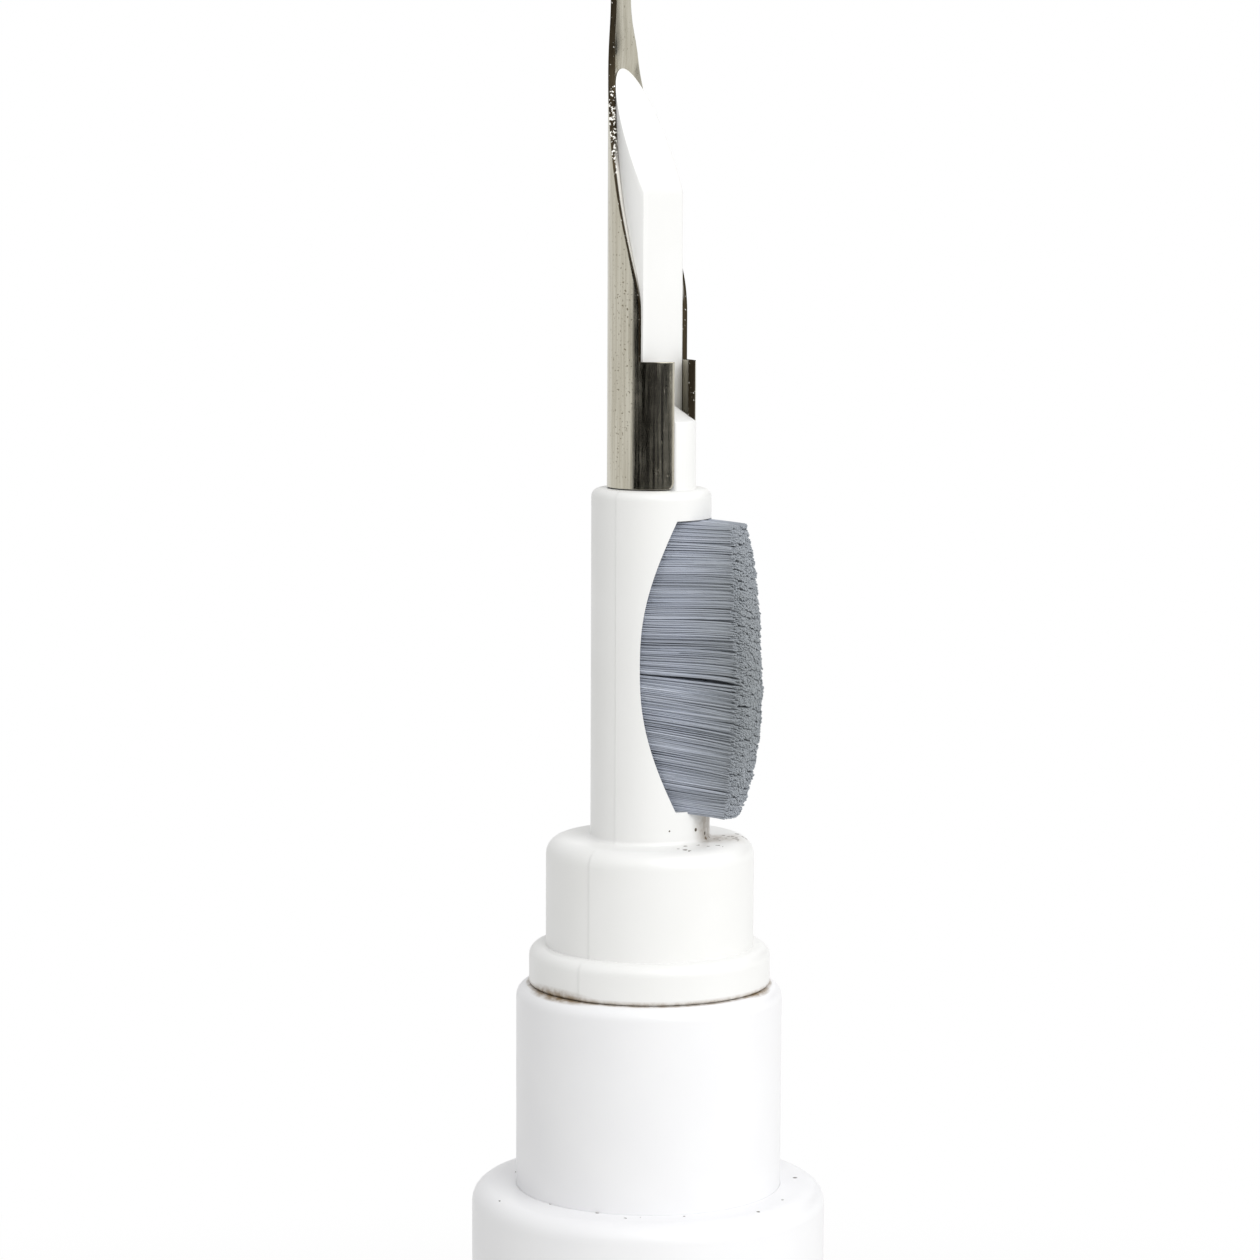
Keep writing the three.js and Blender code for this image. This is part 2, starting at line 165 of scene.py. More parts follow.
class Nodes:
    """Adds nodes to a tree. Each call gives the first output that the new node uses."""

    def __init__(self, tree):
        self.tree = tree

    def __call__(self, kind, inputs, **settings):
        node = self.tree.nodes.new(kind)
        for key, value in settings.items():
            setattr(node, key, value)
        self.connect(node, inputs)
        return next((socket for socket in node.outputs if socket.enabled), None)

    def connect(self, node, inputs):
        """Sets a node's inputs to values, or links them to sockets."""
        for key, value in inputs.items():
            if isinstance(value, bpy.types.NodeSocket):
                self.tree.links.new(value, node.inputs[key])
            else:
                node.inputs[key].default_value = value

    def math(self, operation, *values):
        return self("ShaderNodeMath", dict(enumerate(values)), operation=operation)

    def vectors(self, operation, *values):
        return self("ShaderNodeVectorMath", dict(enumerate(values)), operation=operation)

    def scaled(self, vector, factor):
        return self("ShaderNodeVectorMath", {0: vector, "Scale": factor}, operation="SCALE")

    def mixed(self, share, *colours):
        """A mix of two colours, each of them a socket or an sRGB hex colour."""
        first, second = (linear(c) if isinstance(c, str) else c for c in colours)
        return self("ShaderNodeMix", {0: share, 6: first, 7: second}, data_type="RGBA")

    def noise(self, place, size, detail):
        """Noise of a size in mm."""
        return self("ShaderNodeTexNoise", {"Vector": place, "Scale": 1 / (size * MM), "Detail": detail})

    def ranged(self, value, before=(0, 1), after=(0, 1), **settings):
        """A value carried over from one range to another, and held there."""
        return self("ShaderNodeMapRange", {
            "Value": value,
            "From Min": before[0], "From Max": before[1],
            "To Min": after[0], "To Max": after[1],
        }, **settings)

    def random(self, least, most, seed):
        """A random vector for each point or piece."""
        return self("FunctionNodeRandomValue", {0: least, 1: most, "Seed": seed}, data_type="FLOAT_VECTOR")


def new_material(name):
    """A new material, what adds nodes to it, and the place in the object's coordinates."""
    material = bpy.data.materials.new(name)
    material.use_nodes = True
    add = Nodes(material.node_tree)
    return material, add, add("ShaderNodeTexCoord", {}).node.outputs["Object"]


def shaded(material, inputs):
    """Sets the inputs of a material's shader."""
    tree = material.node_tree
    Nodes(tree).connect(tree.nodes["Principled BSDF"], inputs)
    return material


def patch_distance(add, place, middle, half_sizes):
    """How far a place is from a patch's middle; 1 is the edge of the patch. Sizes in mm."""
    in_patch = add("ShaderNodeMapping", {
        "Vector": place,
        "Location": [-m / half for m, half in zip(middle, half_sizes)],
        "Scale": [1 / (half * MM) for half in half_sizes],
    })
    return add.vectors("LENGTH", in_patch)


# Moulded white ABS: a satin skin with faint cloudy gloss and a fine orange peel from the mould wall.
# Brown dust from use lies in patches where pieces meet, as a thin haze and as single specks. In the
# seam under the flange and at the foot of the shaft under the brush, the haze is also painted shade.
BARREL_WHITES = ("#f5f5f6", "#f0f0f2")
CLOUD_SIZE = 2.5
CLOUD_BREAKS = (0.3, 0.7)
SATIN = (0.32, 0.42)
PEEL_SIZE = 0.22
PEEL_DEPTH = 0.004
PEEL_STRENGTH = 0.2
ABS_IOR = 1.53
# Brown of dust, also used as painted shade in the seam under the flange and under the brush.
DUST_AND_SHADE_BROWN = "#86704f"
GRAIN_SIZE = 0.3
GRAIN_BREAKS = (0.35, 0.6)
THINNEST_GRAIN = 0.5
HAZE_FULL_AT = 0.4
SPECK_BROWN = "#4a3c2b"
SPECK_CELL = 0.23
SPECK_SHARES = (0.16, 0.46)
SPECKS_FULL_AT = 0.3
ALL_ROUND = 20.0


def white_abs(name, patches, whites=BARREL_WHITES):
    """White ABS with patches of brown dust, some also painted shade: (middle, half sizes in mm, haze,
    share of cells with a speck).
    """
    material, add, place = new_material(name)
    cloud = add.noise(place, CLOUD_SIZE, 3.0)
    peel = add.noise(place, PEEL_SIZE, 1.0)
    fleck = add.noise(place, GRAIN_SIZE, 4.0)
    grain = add.ranged(fleck, GRAIN_BREAKS, (THINNEST_GRAIN, 1))
    cell = add("ShaderNodeTexVoronoi", {"Vector": place, "Scale": 1 / (SPECK_CELL * MM)}).node.outputs
    draws = add("ShaderNodeSeparateColor", {"Color": cell["Color"]}).node.outputs
    speck_size = add.ranged(draws["Green"], after=SPECK_SHARES)
    in_speck = add.math("LESS_THAN", cell["Distance"], speck_size)
    colour = add.mixed(cloud, *whites)
    for middle, half_sizes, haze, speck_share in patches:
        away = patch_distance(add, place, middle, half_sizes)
        thick = add.ranged(away, (1.0, HAZE_FULL_AT), (0, haze))
        # The brown haze is dust, and in some patches painted shade as well.
        dust_and_shade = add.math("MULTIPLY", thick, grain)
        colour = add.mixed(dust_and_shade, colour, DUST_AND_SHADE_BROWN)
        chance = add.ranged(away, (1.0, SPECKS_FULL_AT), (0, speck_share))
        picked = add.math("LESS_THAN", draws["Red"], chance)
        speck = add.math("MULTIPLY", picked, in_speck)
        colour = add.mixed(speck, colour, SPECK_BROWN)
    gloss = add.ranged(cloud, CLOUD_BREAKS, SATIN)
    skin = add("ShaderNodeBump", {"Height": peel, "Strength": PEEL_STRENGTH, "Distance": PEEL_DEPTH * MM})
    return shaded(material, {"Base Color": colour, "Roughness": gloss, "Normal": skin, "IOR": ABS_IOR})


def ring_patch(height, half_height, haze, speck_share):
    """A patch all round the pen at a height."""
    return (0, 0, height), (ALL_ROUND, ALL_ROUND, half_height), haze, speck_share


# Places round the seam under the flange with more brown dust and painted shade.
SEAM_LEFT = (-4.7, 1.2)
SEAM_RIGHT = (0.8, -4.8)

neck_tube = placed("neck_tube", turned([
    (MIDDLE_BORE_RADIUS, REAR_RIM + SOCKET_DEPTH, 0),
    (SOCKET_RADIUS, REAR_RIM + SOCKET_DEPTH, 0),
    (SOCKET_RADIUS, REAR_RIM, BORE_EDGE_ROUND),
    (NECK_RADIUS, REAR_RIM, RIM_ROUND),
    (NECK_RADIUS, FRONT_RIM, RIM_ROUND),
    (SOCKET_RADIUS, FRONT_RIM, BORE_EDGE_ROUND),
    (SOCKET_RADIUS, FRONT_RIM - SOCKET_DEPTH, 0),
    (MIDDLE_BORE_RADIUS, FRONT_RIM - SOCKET_DEPTH, 0),
]))
neck_tube.data.materials.append(white_abs("moulded_white_abs_tube", [
    # On the rim: brown dust with painted shade of the seam under the flange, and more of it at two
    # places; the left one paints the wider band of shade in the gap there.
    ring_patch(FRONT_RIM, 0.03, 0.7, 0.0),
    ((*SEAM_LEFT, FRONT_RIM), (2.2, 2.2, 0.14), 0.9, 0.2),
    ((*SEAM_RIGHT, FRONT_RIM), (1.2, 1.2, 0.1), 0.8, 0.2),
    # Single specks at the foot of the neck.
    ring_patch(SHOULDER, 0.3, 0.0, 0.03),
]))
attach(neck_tube, "barrel")
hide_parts("inner_tube")

# Outer sleeve
# The grip of the barrel: a straight white ABS sleeve pressed over the inner tube. Its flat front
# shoulder is the stop for a front cap, and its rear end meets the rear cap in a fine seam.
sleeve_low, sleeve_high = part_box("outer_sleeve")
BODY_RADIUS = sleeve_high.x / MM
SLEEVE_REAR = sleeve_low.z / MM
FIT_GAP = 0.05
SLEEVE_BORE_RADIUS = NECK_RADIUS + FIT_GAP
PRESS_GAP = 0.01
SLEEVE_MOUTH_RADIUS = NECK_RADIUS + PRESS_GAP
SLEEVE_MOUTH_DEPTH = 1.0
SHOULDER_ROUND = 0.75
SEAM_ROUND = 0.3
SPECKED_RADIUS = 7.0

grip_sleeve = placed("grip_sleeve", turned([
    (SLEEVE_BORE_RADIUS, SLEEVE_REAR, 0),
    (BODY_RADIUS, SLEEVE_REAR, SEAM_ROUND),
    (BODY_RADIUS, SHOULDER, SHOULDER_ROUND),
    (SLEEVE_MOUTH_RADIUS, SHOULDER, 0),
    (SLEEVE_MOUTH_RADIUS, SHOULDER - SLEEVE_MOUTH_DEPTH, 0),
]))
grip_sleeve.data.materials.append(white_abs("moulded_white_abs_sleeve", [
    ((0, 0, SHOULDER), (SPECKED_RADIUS, SPECKED_RADIUS, 0.4), 0.0, 0.15),
    ring_patch(SLEEVE_REAR, 0.15, 0.3, 0.0),
]))
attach(grip_sleeve, "barrel")
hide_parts("outer_sleeve")

# Head moulding
# Plug, flange, collar, shaft and nib core in one piece of white ABS from a two-part mould: the line
# where the mould halves met shows on both sides. Crush ribs on the hollow plug grip the tube.
FLANGE_GAP = 0.02
HEAD = FRONT_RIM + FLANGE_GAP
PLUG_RADIUS = 4.45
PLUG_DEPTH = 8.82
PLUG_LEAD_IN = 0.4
HOLLOW_RADIUS = 3.0
HOLLOW_ROUND = 0.8
FLANGE_RADIUS = 4.875
FLANGE_THICKNESS = 1.58
FLANGE_FOOT_ROUND = 0.1
FLANGE_TOP = HEAD + FLANGE_THICKNESS
HOLLOW_ABOVE_FLANGE = 2.4
HOLLOW_TOP = round(FLANGE_TOP + HOLLOW_ABOVE_FLANGE, 2)
FLANGE_ROUND = 0.45
COLLAR_RADIUS = 4.2
COLLAR_LENGTH = 4.4
COLLAR_TOP = FLANGE_TOP + COLLAR_LENGTH
COLLAR_ROUND = 0.7
SHAFT_RADIUS = 2.4
SHAFT_LENGTH = 14.15
SHAFT_TOP = COLLAR_TOP + SHAFT_LENGTH
SHAFT_ROUND = 0.35
SHAFT_FOOT_ROUND = 0.15
MOULD_STEP = 0.03
MOULD_LINE_HALF_ANGLE = math.radians(0.35)
OFF_AXIS = 0.1
# The head is a touch darker and warmer than the barrel.
HEAD_WHITES = ("#f3f3f2", "#eeeeec")

# A ring of crush ribs round a plug, made as a Geometry Nodes tree that both plugs use.
RIB_COUNT = 8
RIB_RADIUS = 0.2
RIB_SIDES = 10
RIB_GAP = 0.4
RIB_LEAD_IN = 1.0
RIB_LENGTH = PLUG_DEPTH - RIB_GAP - RIB_LEAD_IN


def new_tree(name, inputs):
    """A Geometry Nodes tree with named inputs between a geometry and a material. Gives the tree, what
    adds nodes to it, its inputs and their identifiers."""
    tree = bpy.data.node_groups.new(name, "GeometryNodeTree")
    identifiers = {}
    for label, kind in {"Geometry": "Geometry", **inputs, "Material": "Material"}.items():
        socket = tree.interface.new_socket(label, in_out="INPUT", socket_type="NodeSocket" + kind)
        identifiers[label] = socket.identifier
    tree.interface.new_socket("Geometry", in_out="OUTPUT", socket_type="NodeSocketGeometry")
    add = Nodes(tree)
    return tree, add, add("NodeGroupInput", {}).node.outputs, identifiers


def end_tree(add, inputs, geometry):
    """Sets a tree's material and makes the geometry its output."""
    ready = add("GeometryNodeSetMaterial", {"Geometry": geometry, "Material": inputs["Material"]})
    add("NodeGroupOutput", {"Geometry": ready})


def evaluated_mesh(piece):
    """The piece with its modifiers, as a plain mesh. The modifiers are removed."""
    bpy.context.view_layer.update()
    ready = piece.evaluated_get(bpy.context.evaluated_depsgraph_get())
    mesh = bpy.data.meshes.new_from_object(ready)
    mesh.name = piece.name
    piece.modifiers.clear()
    return mesh


def formed(piece, tree, identifiers, values):
    """Runs a Geometry Nodes tree on a piece with the given inputs, and keeps the plain mesh."""
    modifier = piece.modifiers.new(tree.name, "NODES")
    modifier.node_group = tree
    for label, value in values.items():
        modifier[identifiers[label]] = value
    piece.data = evaluated_mesh(piece)


rib_tree, add, rib_in, rib_ids = new_tree("ring_of_crush_ribs", {
    "Count": "Int",
    "Ring Radius": "Float",
    "Rib Radius": "Float",
    "Rib Length": "Float",
    "Middle Height": "Float",
})
rib_ring = add("GeometryNodeMeshCircle", {"Vertices": rib_in["Count"], "Radius": rib_in["Ring Radius"]})
one_rib = add("GeometryNodeMeshCylinder", {
    "Vertices": RIB_SIDES, "Radius": rib_in["Rib Radius"], "Depth": rib_in["Rib Length"],
})
ribs = add("GeometryNodeInstanceOnPoints", {"Points": rib_ring, "Instance": one_rib})
rib_lift = add("ShaderNodeCombineXYZ", {"Z": rib_in["Middle Height"]})
ribs = add("GeometryNodeTransform", {
    "Geometry": ribs, "Translation": rib_lift, "Rotation": (0, 0, math.pi / RIB_COUNT),
})
ribs = add("GeometryNodeRealizeInstances", {"Geometry": ribs})
end_tree(add, rib_in, ribs)


def crush_ribs(middle_height, material):
    """The ribs of one plug as a plain mesh object, to be joined to the moulding."""
    ring = placed("crush_ribs", bmesh.new())
    formed(ring, rib_tree, rib_ids, {
        "Count": RIB_COUNT,
        "Ring Radius": PLUG_RADIUS * MM,
        "Rib Radius": RIB_RADIUS * MM,
        "Rib Length": RIB_LENGTH * MM,
        "Middle Height": middle_height * MM,
        "Material": material,
    })
    return ring


def joined(piece, material, *steps):
    """Cuts or adds each (operation, helper) in turn, deletes the helpers and sets the one material."""
    for operation, helper in steps:
        modifier = piece.modifiers.new("join", "BOOLEAN")
        modifier.operation = operation
        modifier.solver = "EXACT"
        modifier.object = helper
    piece.data = smoothed(evaluated_mesh(piece))
    for operation, helper in steps:
        bpy.data.objects.remove(helper)
    piece.data.materials.clear()
    piece.data.materials.append(material)


# The brush socket: a lens in the front view with blunt ends, sunk to a flat floor.
LENS_ABOVE_COLLAR = 7.14
LENS_MIDDLE = round(COLLAR_TOP + LENS_ABOVE_COLLAR, 2)
LENS_HALF_LENGTH = 5.84
LENS_HALF_WIDTH = 2.2
LENS_END_HALF_WIDTH = 1.2
LENS_BLUNTNESS = 2.6
LENS_STEPS = 40
END_INSET_SHARE = 1 / 3
SOCKET_FLOOR = 0.35


def capped(solid, layers):
    """Closes a solid through layers of vertices, with a flat face on the first and on the last."""
    solid.faces.new(layers[0])
    solid.faces.new(layers[-1])
    for near, far in zip(layers, layers[1:]):
        for k in range(len(near)):
            after = (k + 1) % len(near)
            solid.faces.new([near[k], near[after], far[after], far[k]])
    bmesh.ops.recalc_face_normals(solid, faces=solid.faces)
    return solid


def lens_half_width(share):
    """Half width in mm of the brush lens; share runs from -1 at its bottom to 1 at its top."""
    swell = 1 - abs(share) ** LENS_BLUNTNESS
    return LENS_END_HALF_WIDTH + (LENS_HALF_WIDTH - LENS_END_HALF_WIDTH) * swell


def lens_block(low_share, high_share, inset, near_depth, far_depth):
    """The lens between two shares of its length, as a block between two depths in mm. It is inset at its
    sides, and less at its ends."""
    shares = [low_share + (high_share - low_share) * k / LENS_STEPS for k in range(LENS_STEPS + 1)]
    heights = [LENS_MIDDLE + share * (LENS_HALF_LENGTH - inset * END_INSET_SHARE) for share in shares]
    widths = [lens_half_width(share) - inset for share in shares]
    rim = list(zip(widths, heights))
    rim += [(-width, height) for width, height in reversed(rim)]
    block = bmesh.new()
    return capped(block, [
        [block.verts.new((x * MM, -depth * MM, z * MM)) for x, z in rim]
        for depth in (near_depth, far_depth)
    ])


# The nib core: a post with a flat front and an oblique top, all its edges softly rounded.
NIB_RADIUS = 1.775
SHEET = 0.28
NIB_GAP = 0.02
CORE_RADIUS = NIB_RADIUS - SHEET - NIB_GAP
CORE_FLAT = 0.56
CORE_FRONT_TOP = SHAFT_TOP + 11.8
CORE_TOP_SLOPE = 2.43
CORE_ROUND = 0.1
CORE_SINK = 0.5
CORE_ROWS = 28
SOFT_CORNER = 0.03
LEAST_SINE = 0.01


def soft_least(first, second):
    """The smaller of two sizes in mm, with the corner between them rounded."""
    least = min(first, second)
    return least - SOFT_CORNER * math.log1p(math.exp(-abs(first - second) / SOFT_CORNER))


def nib_core():
    """The post as a closed solid, sunk into the shaft."""
    core = bmesh.new()
    angles = even_angles(COLUMNS)
    foot = SHAFT_TOP - CORE_SINK
    reach = []
    for a in angles:
        front = CORE_FLAT / max(-math.sin(a), LEAST_SINE)
        reach.append(soft_least(CORE_RADIUS, front))

    def point(k, inset, share):
        radius = max(reach[k] - inset, 0)
        x = radius * math.cos(angles[k])
        y = radius * math.sin(angles[k])
        top = CORE_FRONT_TOP + (y + CORE_FLAT) * CORE_TOP_SLOPE
        drop = 0
        if inset < CORE_ROUND:
            drop = CORE_ROUND - math.sqrt(CORE_ROUND ** 2 - (CORE_ROUND - inset) ** 2)
        height = foot + (top - drop - foot) * share
        return core.verts.new((x * MM, y * MM, height * MM))

    rings = [[point(k, 0, row / CORE_ROWS) for k in range(COLUMNS)] for row in range(CORE_ROWS + 1)]
    for step in range(1, ARC_STEPS + 1):
        inset = CORE_ROUND * (1 - math.cos(step / ARC_STEPS * math.pi / 2))
        rings.append([point(k, inset, 1) for k in range(COLUMNS)])
    rings.append([core.verts.new((0, 0, (CORE_FRONT_TOP + CORE_FLAT * CORE_TOP_SLOPE) * MM))])
    rings.insert(0, [core.verts.new((0, 0, foot * MM))])
    return skinned(core, rings)


# The key at the foot of the core, which fills the nib's slit.
KEY_HALF_WIDTH = 0.715
KEY_PROUD = 0.07
KEY_RADIUS = NIB_RADIUS + KEY_PROUD
KEY_TOP = SHAFT_TOP + 2.7
KEY_CHAMFER = 0.7
KEY_STEPS = 8
KEY_EDGE = 0.05
KEY_EDGE_STEPS = 3
KEY_BACK = 0.2
KEY_OVERLAP = 0.1


def nib_key():
    """The key as a closed solid: a round front, a chamfered top and softened edges."""
    key = bmesh.new()
    slices = []
    for k in range(KEY_STEPS + 1):
        x = KEY_HALF_WIDTH * (2 * k / KEY_STEPS - 1)
        front = math.sqrt(KEY_RADIUS ** 2 - x ** 2)
        side = [
            (KEY_BACK, SHAFT_TOP - CORE_SINK),
            (front, SHAFT_TOP - CORE_SINK),
            (front, KEY_TOP),
            (CORE_FLAT - KEY_OVERLAP, KEY_TOP + KEY_CHAMFER),
            (KEY_BACK, KEY_TOP + KEY_CHAMFER),
        ]
        slices.append([key.verts.new((x * MM, -depth * MM, z * MM)) for depth, z in side])
    capped(key, slices)
    edges = [edge for edge in key.edges if edge.calc_face_angle() > SHARP_ANGLE]
    bmesh.ops.bevel(
        key, geom=edges, offset=KEY_EDGE * MM, segments=KEY_EDGE_STEPS, profile=0.5, affect="EDGES",
    )
    return key


mould_line = [0.0, math.pi]
head_angles = sorted(
    even_angles(COLUMNS)
    + [(line + side * MOULD_LINE_HALF_ANGLE) % (2 * math.pi) for line in mould_line for side in (-1, 1)]
)
head_solid = turned([
    (0, HOLLOW_TOP, 0),
    (HOLLOW_RADIUS, HOLLOW_TOP, HOLLOW_ROUND),
    (HOLLOW_RADIUS, HEAD - PLUG_DEPTH, 0),
    (PLUG_RADIUS, HEAD - PLUG_DEPTH, PLUG_LEAD_IN),
    (PLUG_RADIUS, HEAD, 0),
    (FLANGE_RADIUS, HEAD, FLANGE_FOOT_ROUND),
    (FLANGE_RADIUS, FLANGE_TOP, FLANGE_ROUND),
    (COLLAR_RADIUS, FLANGE_TOP, 0),
    (COLLAR_RADIUS, COLLAR_TOP, COLLAR_ROUND),
    (SHAFT_RADIUS, COLLAR_TOP, SHAFT_FOOT_ROUND),
    (SHAFT_RADIUS, SHAFT_TOP, SHAFT_ROUND),
    (0, SHAFT_TOP, 0),
], head_angles, longest=0.6)
for vertex in head_solid.verts:
    radius = vertex.co.xy.length
    if vertex.co.y < 0 and radius > OFF_AXIS * MM:
        vertex.co.xy *= (radius + MOULD_STEP * MM) / radius
head_moulding = placed("head_moulding", head_solid)
head_abs = white_abs("moulded_white_abs_head", [
    # In the seam under the flange: brown dust with painted shade, and more of it on the left, where
    # the wider band of shade is painted.
    ring_patch(HEAD, 0.2, 0.5, 0.0),
    ((*SEAM_LEFT, HEAD), (2.4, 2.4, 0.4), 0.8, 0.0),
    # Specks of dust on the collar under the brush, in a brown haze that is partly painted shadow of the
    # brush.
    ((1.3, -2.8, COLLAR_TOP), (1.4, 1.0, 0.5), 0.4, 0.9),
    ((0.2, -3.0, COLLAR_TOP), (3.4, 1.3, 0.5), 0.05, 0.3),
    # At the foot of the shaft: a brown stain with the brush's shadow painted into it.
    ((0.9, -2.3, COLLAR_TOP + 0.6), (1.4, 0.9, 1.2), 0.65, 0.1),
    # Single specks on the whole head.
    ((0, 0, COLLAR_TOP + 1.0), (6.0, 6.0, 10.0), 0.0, 0.002),
], HEAD_WHITES)
head_ribs = crush_ribs(HEAD - RIB_GAP - RIB_LENGTH / 2, head_abs)
joined(
    head_moulding,
    head_abs,
    ("DIFFERENCE", placed("socket_cutter", lens_block(-1, 1, 0, SOCKET_FLOOR, 2 * SHAFT_RADIUS))),
    ("UNION", placed("core", nib_core())),
    ("UNION", placed("key", nib_key())),
    ("UNION", head_ribs),
)
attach(head_moulding, "tool_head")
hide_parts("head_stem")

# Scraper nib
# A strip of nickel-plated steel rolled round the nib core: slit at its foot to fit over the key, cut
# back above the slit, drawn out to a narrow blade at the back and flattened towards its tip.
nib_low, nib_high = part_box("scraper_nib")
NIB_FOOT = nib_low.z / MM
NIB_TIP = nib_high.z / MM
SLIT_HALF_ANGLE = math.radians(24)
SLIT_TOP = SHAFT_TOP + 5.1
FOOT_CORNER = 0.3
TIP_CLEARANCE = 0.01
# Corners of the cut edge: depth in front of the axis, height, set-back of the rounding.
BLADE_CORNERS = [
    (CORE_FLAT, SLIT_TOP, 0),
    (CORE_FLAT, SHAFT_TOP + 7.75, 0.8),
    (-0.86, SHAFT_TOP + 12.7, 2.4),
    (-1.45, SHAFT_TOP + 16.4, 0.8),
    (-1.69, SHAFT_TOP + 18.4, 0.8),
    (-1.73, NIB_TIP - 0.8, 0.4),
    (-1.76, NIB_TIP - TIP_CLEARANCE, 0),
]
FLATTEN_FROM = SHAFT_TOP + 16.4
FLATTEN_TO = SHAFT_TOP + 18.0
FLATTEN_SHARE = 0.7
BLADE_COLUMNS = 72
WING_COLUMNS = 14
CUT_EDGE_BEVEL = 0.02
CUT_EDGE_STEPS = 2
CUT_EDGE_ANGLE = math.radians(50)


def nib_sheet():
    """The outer face of the rolled strip, from its foot to its tip, facing outwards."""
    sheet = bmesh.new()
    blade_half_angle = math.acos(-CORE_FLAT / NIB_RADIUS)
    foot_half_angle = math.pi - SLIT_HALF_ANGLE
    corner = rounded([
        (foot_half_angle * NIB_RADIUS - 2 * FOOT_CORNER, NIB_FOOT, 0),
        (foot_half_angle * NIB_RADIUS, NIB_FOOT, FOOT_CORNER),
        (foot_half_angle * NIB_RADIUS, SLIT_TOP - 2 * CUT_EDGE_BEVEL, 0),
        (foot_half_angle * NIB_RADIUS, SLIT_TOP, 0),
    ], longest=0.35)
    # The rows of the foot begin where its rounded corner does.
    foot_rows = [(point.x / NIB_RADIUS, point.y) for point in corner[2:]]
    blade_rows = [
        (math.acos(-point.x / NIB_RADIUS), point.y) for point in rounded(BLADE_CORNERS, longest=0.25)
    ]

    def vertex(angle, half_angle, height):
        share = min(max((height - FLATTEN_FROM) / (FLATTEN_TO - FLATTEN_FROM), 0), 1)
        flatten = FLATTEN_SHARE * share * share * (3 - 2 * share)
        sunk = flatten * (math.cos(angle) - math.cos(half_angle))
        across = NIB_RADIUS * MM * math.sin(angle)
        behind = NIB_RADIUS * MM * (math.cos(angle) - sunk)
        return sheet.verts.new((across, behind, height * MM))

    def strip(lower, upper):
        for k in range(len(lower) - 1):
            sheet.faces.new([lower[k], upper[k], upper[k + 1], lower[k + 1]])

    middle = [2 * k / BLADE_COLUMNS - 1 for k in range(BLADE_COLUMNS + 1)]
    wing = [k / WING_COLUMNS for k in range(1, WING_COLUMNS + 1)]
    rows = []
    for half_angle, height in foot_rows:
        angles = [share * blade_half_angle for share in middle]
        spread = [blade_half_angle + share * (half_angle - blade_half_angle) for share in wing]
        angles = [-angle for angle in reversed(spread)] + angles + spread
        rows.append([vertex(angle, half_angle, height) for angle in angles])
    for lower, upper in zip(rows, rows[1:]):
        strip(lower, upper)
    below = rows[-1][WING_COLUMNS:-WING_COLUMNS]
    for half_angle, height in blade_rows[1:]:
        row = [vertex(share * half_angle, half_angle, height) for share in middle]
        strip(below, row)
        below = row
    return sheet


# Nickel-plated steel: a bright, slightly warm mirror, drawn into fine streaks along the strip and
# speckled with brown pits. The sheared edges are bare and dark, with bright burrs along them.
NICKEL_COLOURS = ("#c2beb0", "#b2ad9d", "#7d7562")
NICKEL_ROUGHNESS = (0.14, 0.3)
NICKEL_GRAZING = "#ffffff"
PIT_PATCH = ((-1.75, 0.3, SHAFT_TOP + 5.0), (0.8, 0.8, 5.5))
PIT_LEVEL = 0.635
SHEARED_STEEL = "#484032"
BURR_BRIGHT = "#f1efe9"
SHEARED_COLOURS = (SHEARED_STEEL, "#3a3328", BURR_BRIGHT)
SHEARED_ROUGHNESS = (0.5, 0.65)
BURR_PATCH = ((-1.3, 0.9, SHAFT_TOP + 14.4), (1.5, 1.5, 1.9))
BURR_LEVEL = 0.55
STREAK_WIDTH = 0.12
STREAK_STRETCH = 0.03
STREAK_BREAKS = (0.35, 0.65)
STREAK_DEPTH = 0.004
STREAK_STRENGTH = 0.25
WEAR_SIZE = 0.9
MOST_WEAR = 0.6
SPOT_SIZE = 0.11
SPOTS_FULL_AT = 0.6
STRAY_SPOT_LEVEL = 0.69


def plated_steel(name, colours, spot_patch, spot_level, roughness, grazing_tint):
    """Streaked steel in colours (bright, streak, spot). Spots lie where the noise is above a level,
    which is lower in a patch (middle, half sizes) and lets few of them through elsewhere."""
    bright, streak, spot = colours
    material, add, place = new_material(name)
    drawn = add("ShaderNodeMapping", {"Vector": place, "Scale": (1, 1, STREAK_STRETCH)})
    streaks = add.noise(drawn, STREAK_WIDTH, 3.0)
    lines = add.ranged(streaks, STREAK_BREAKS)
    wear = add.noise(place, WEAR_SIZE, 4.0)
    flecks = add.noise(place, SPOT_SIZE, 3.0)
    away = patch_distance(add, place, *spot_patch)
    level = add.ranged(away, (1.0, SPOTS_FULL_AT), (STRAY_SPOT_LEVEL, spot_level))
    in_spot = add.math("GREATER_THAN", flecks, level)
    colour = add.mixed(lines, bright, streak)
    colour = add.mixed(in_spot, colour, spot)
    worn = add.math("MULTIPLY", lines, wear)
    rough = add.ranged(worn, (0, MOST_WEAR), roughness)
    relief = add.math("SUBTRACT", streaks, in_spot)
    bump = add("ShaderNodeBump", {
        "Height": relief, "Strength": STREAK_STRENGTH, "Distance": STREAK_DEPTH * MM,
    })
    return shaded(material, {
        "Base Color": colour, "Roughness": rough, "Normal": bump, "Metallic": 1.0,
        "Specular Tint": linear(grazing_tint),
    })


nickel = plated_steel(
    "nickel_plated_steel", NICKEL_COLOURS, PIT_PATCH, PIT_LEVEL, NICKEL_ROUGHNESS, NICKEL_GRAZING,
)
sheared = plated_steel(
    "sheared_steel_edge", SHEARED_COLOURS, BURR_PATCH, BURR_LEVEL, SHEARED_ROUGHNESS, SHEARED_STEEL,
)

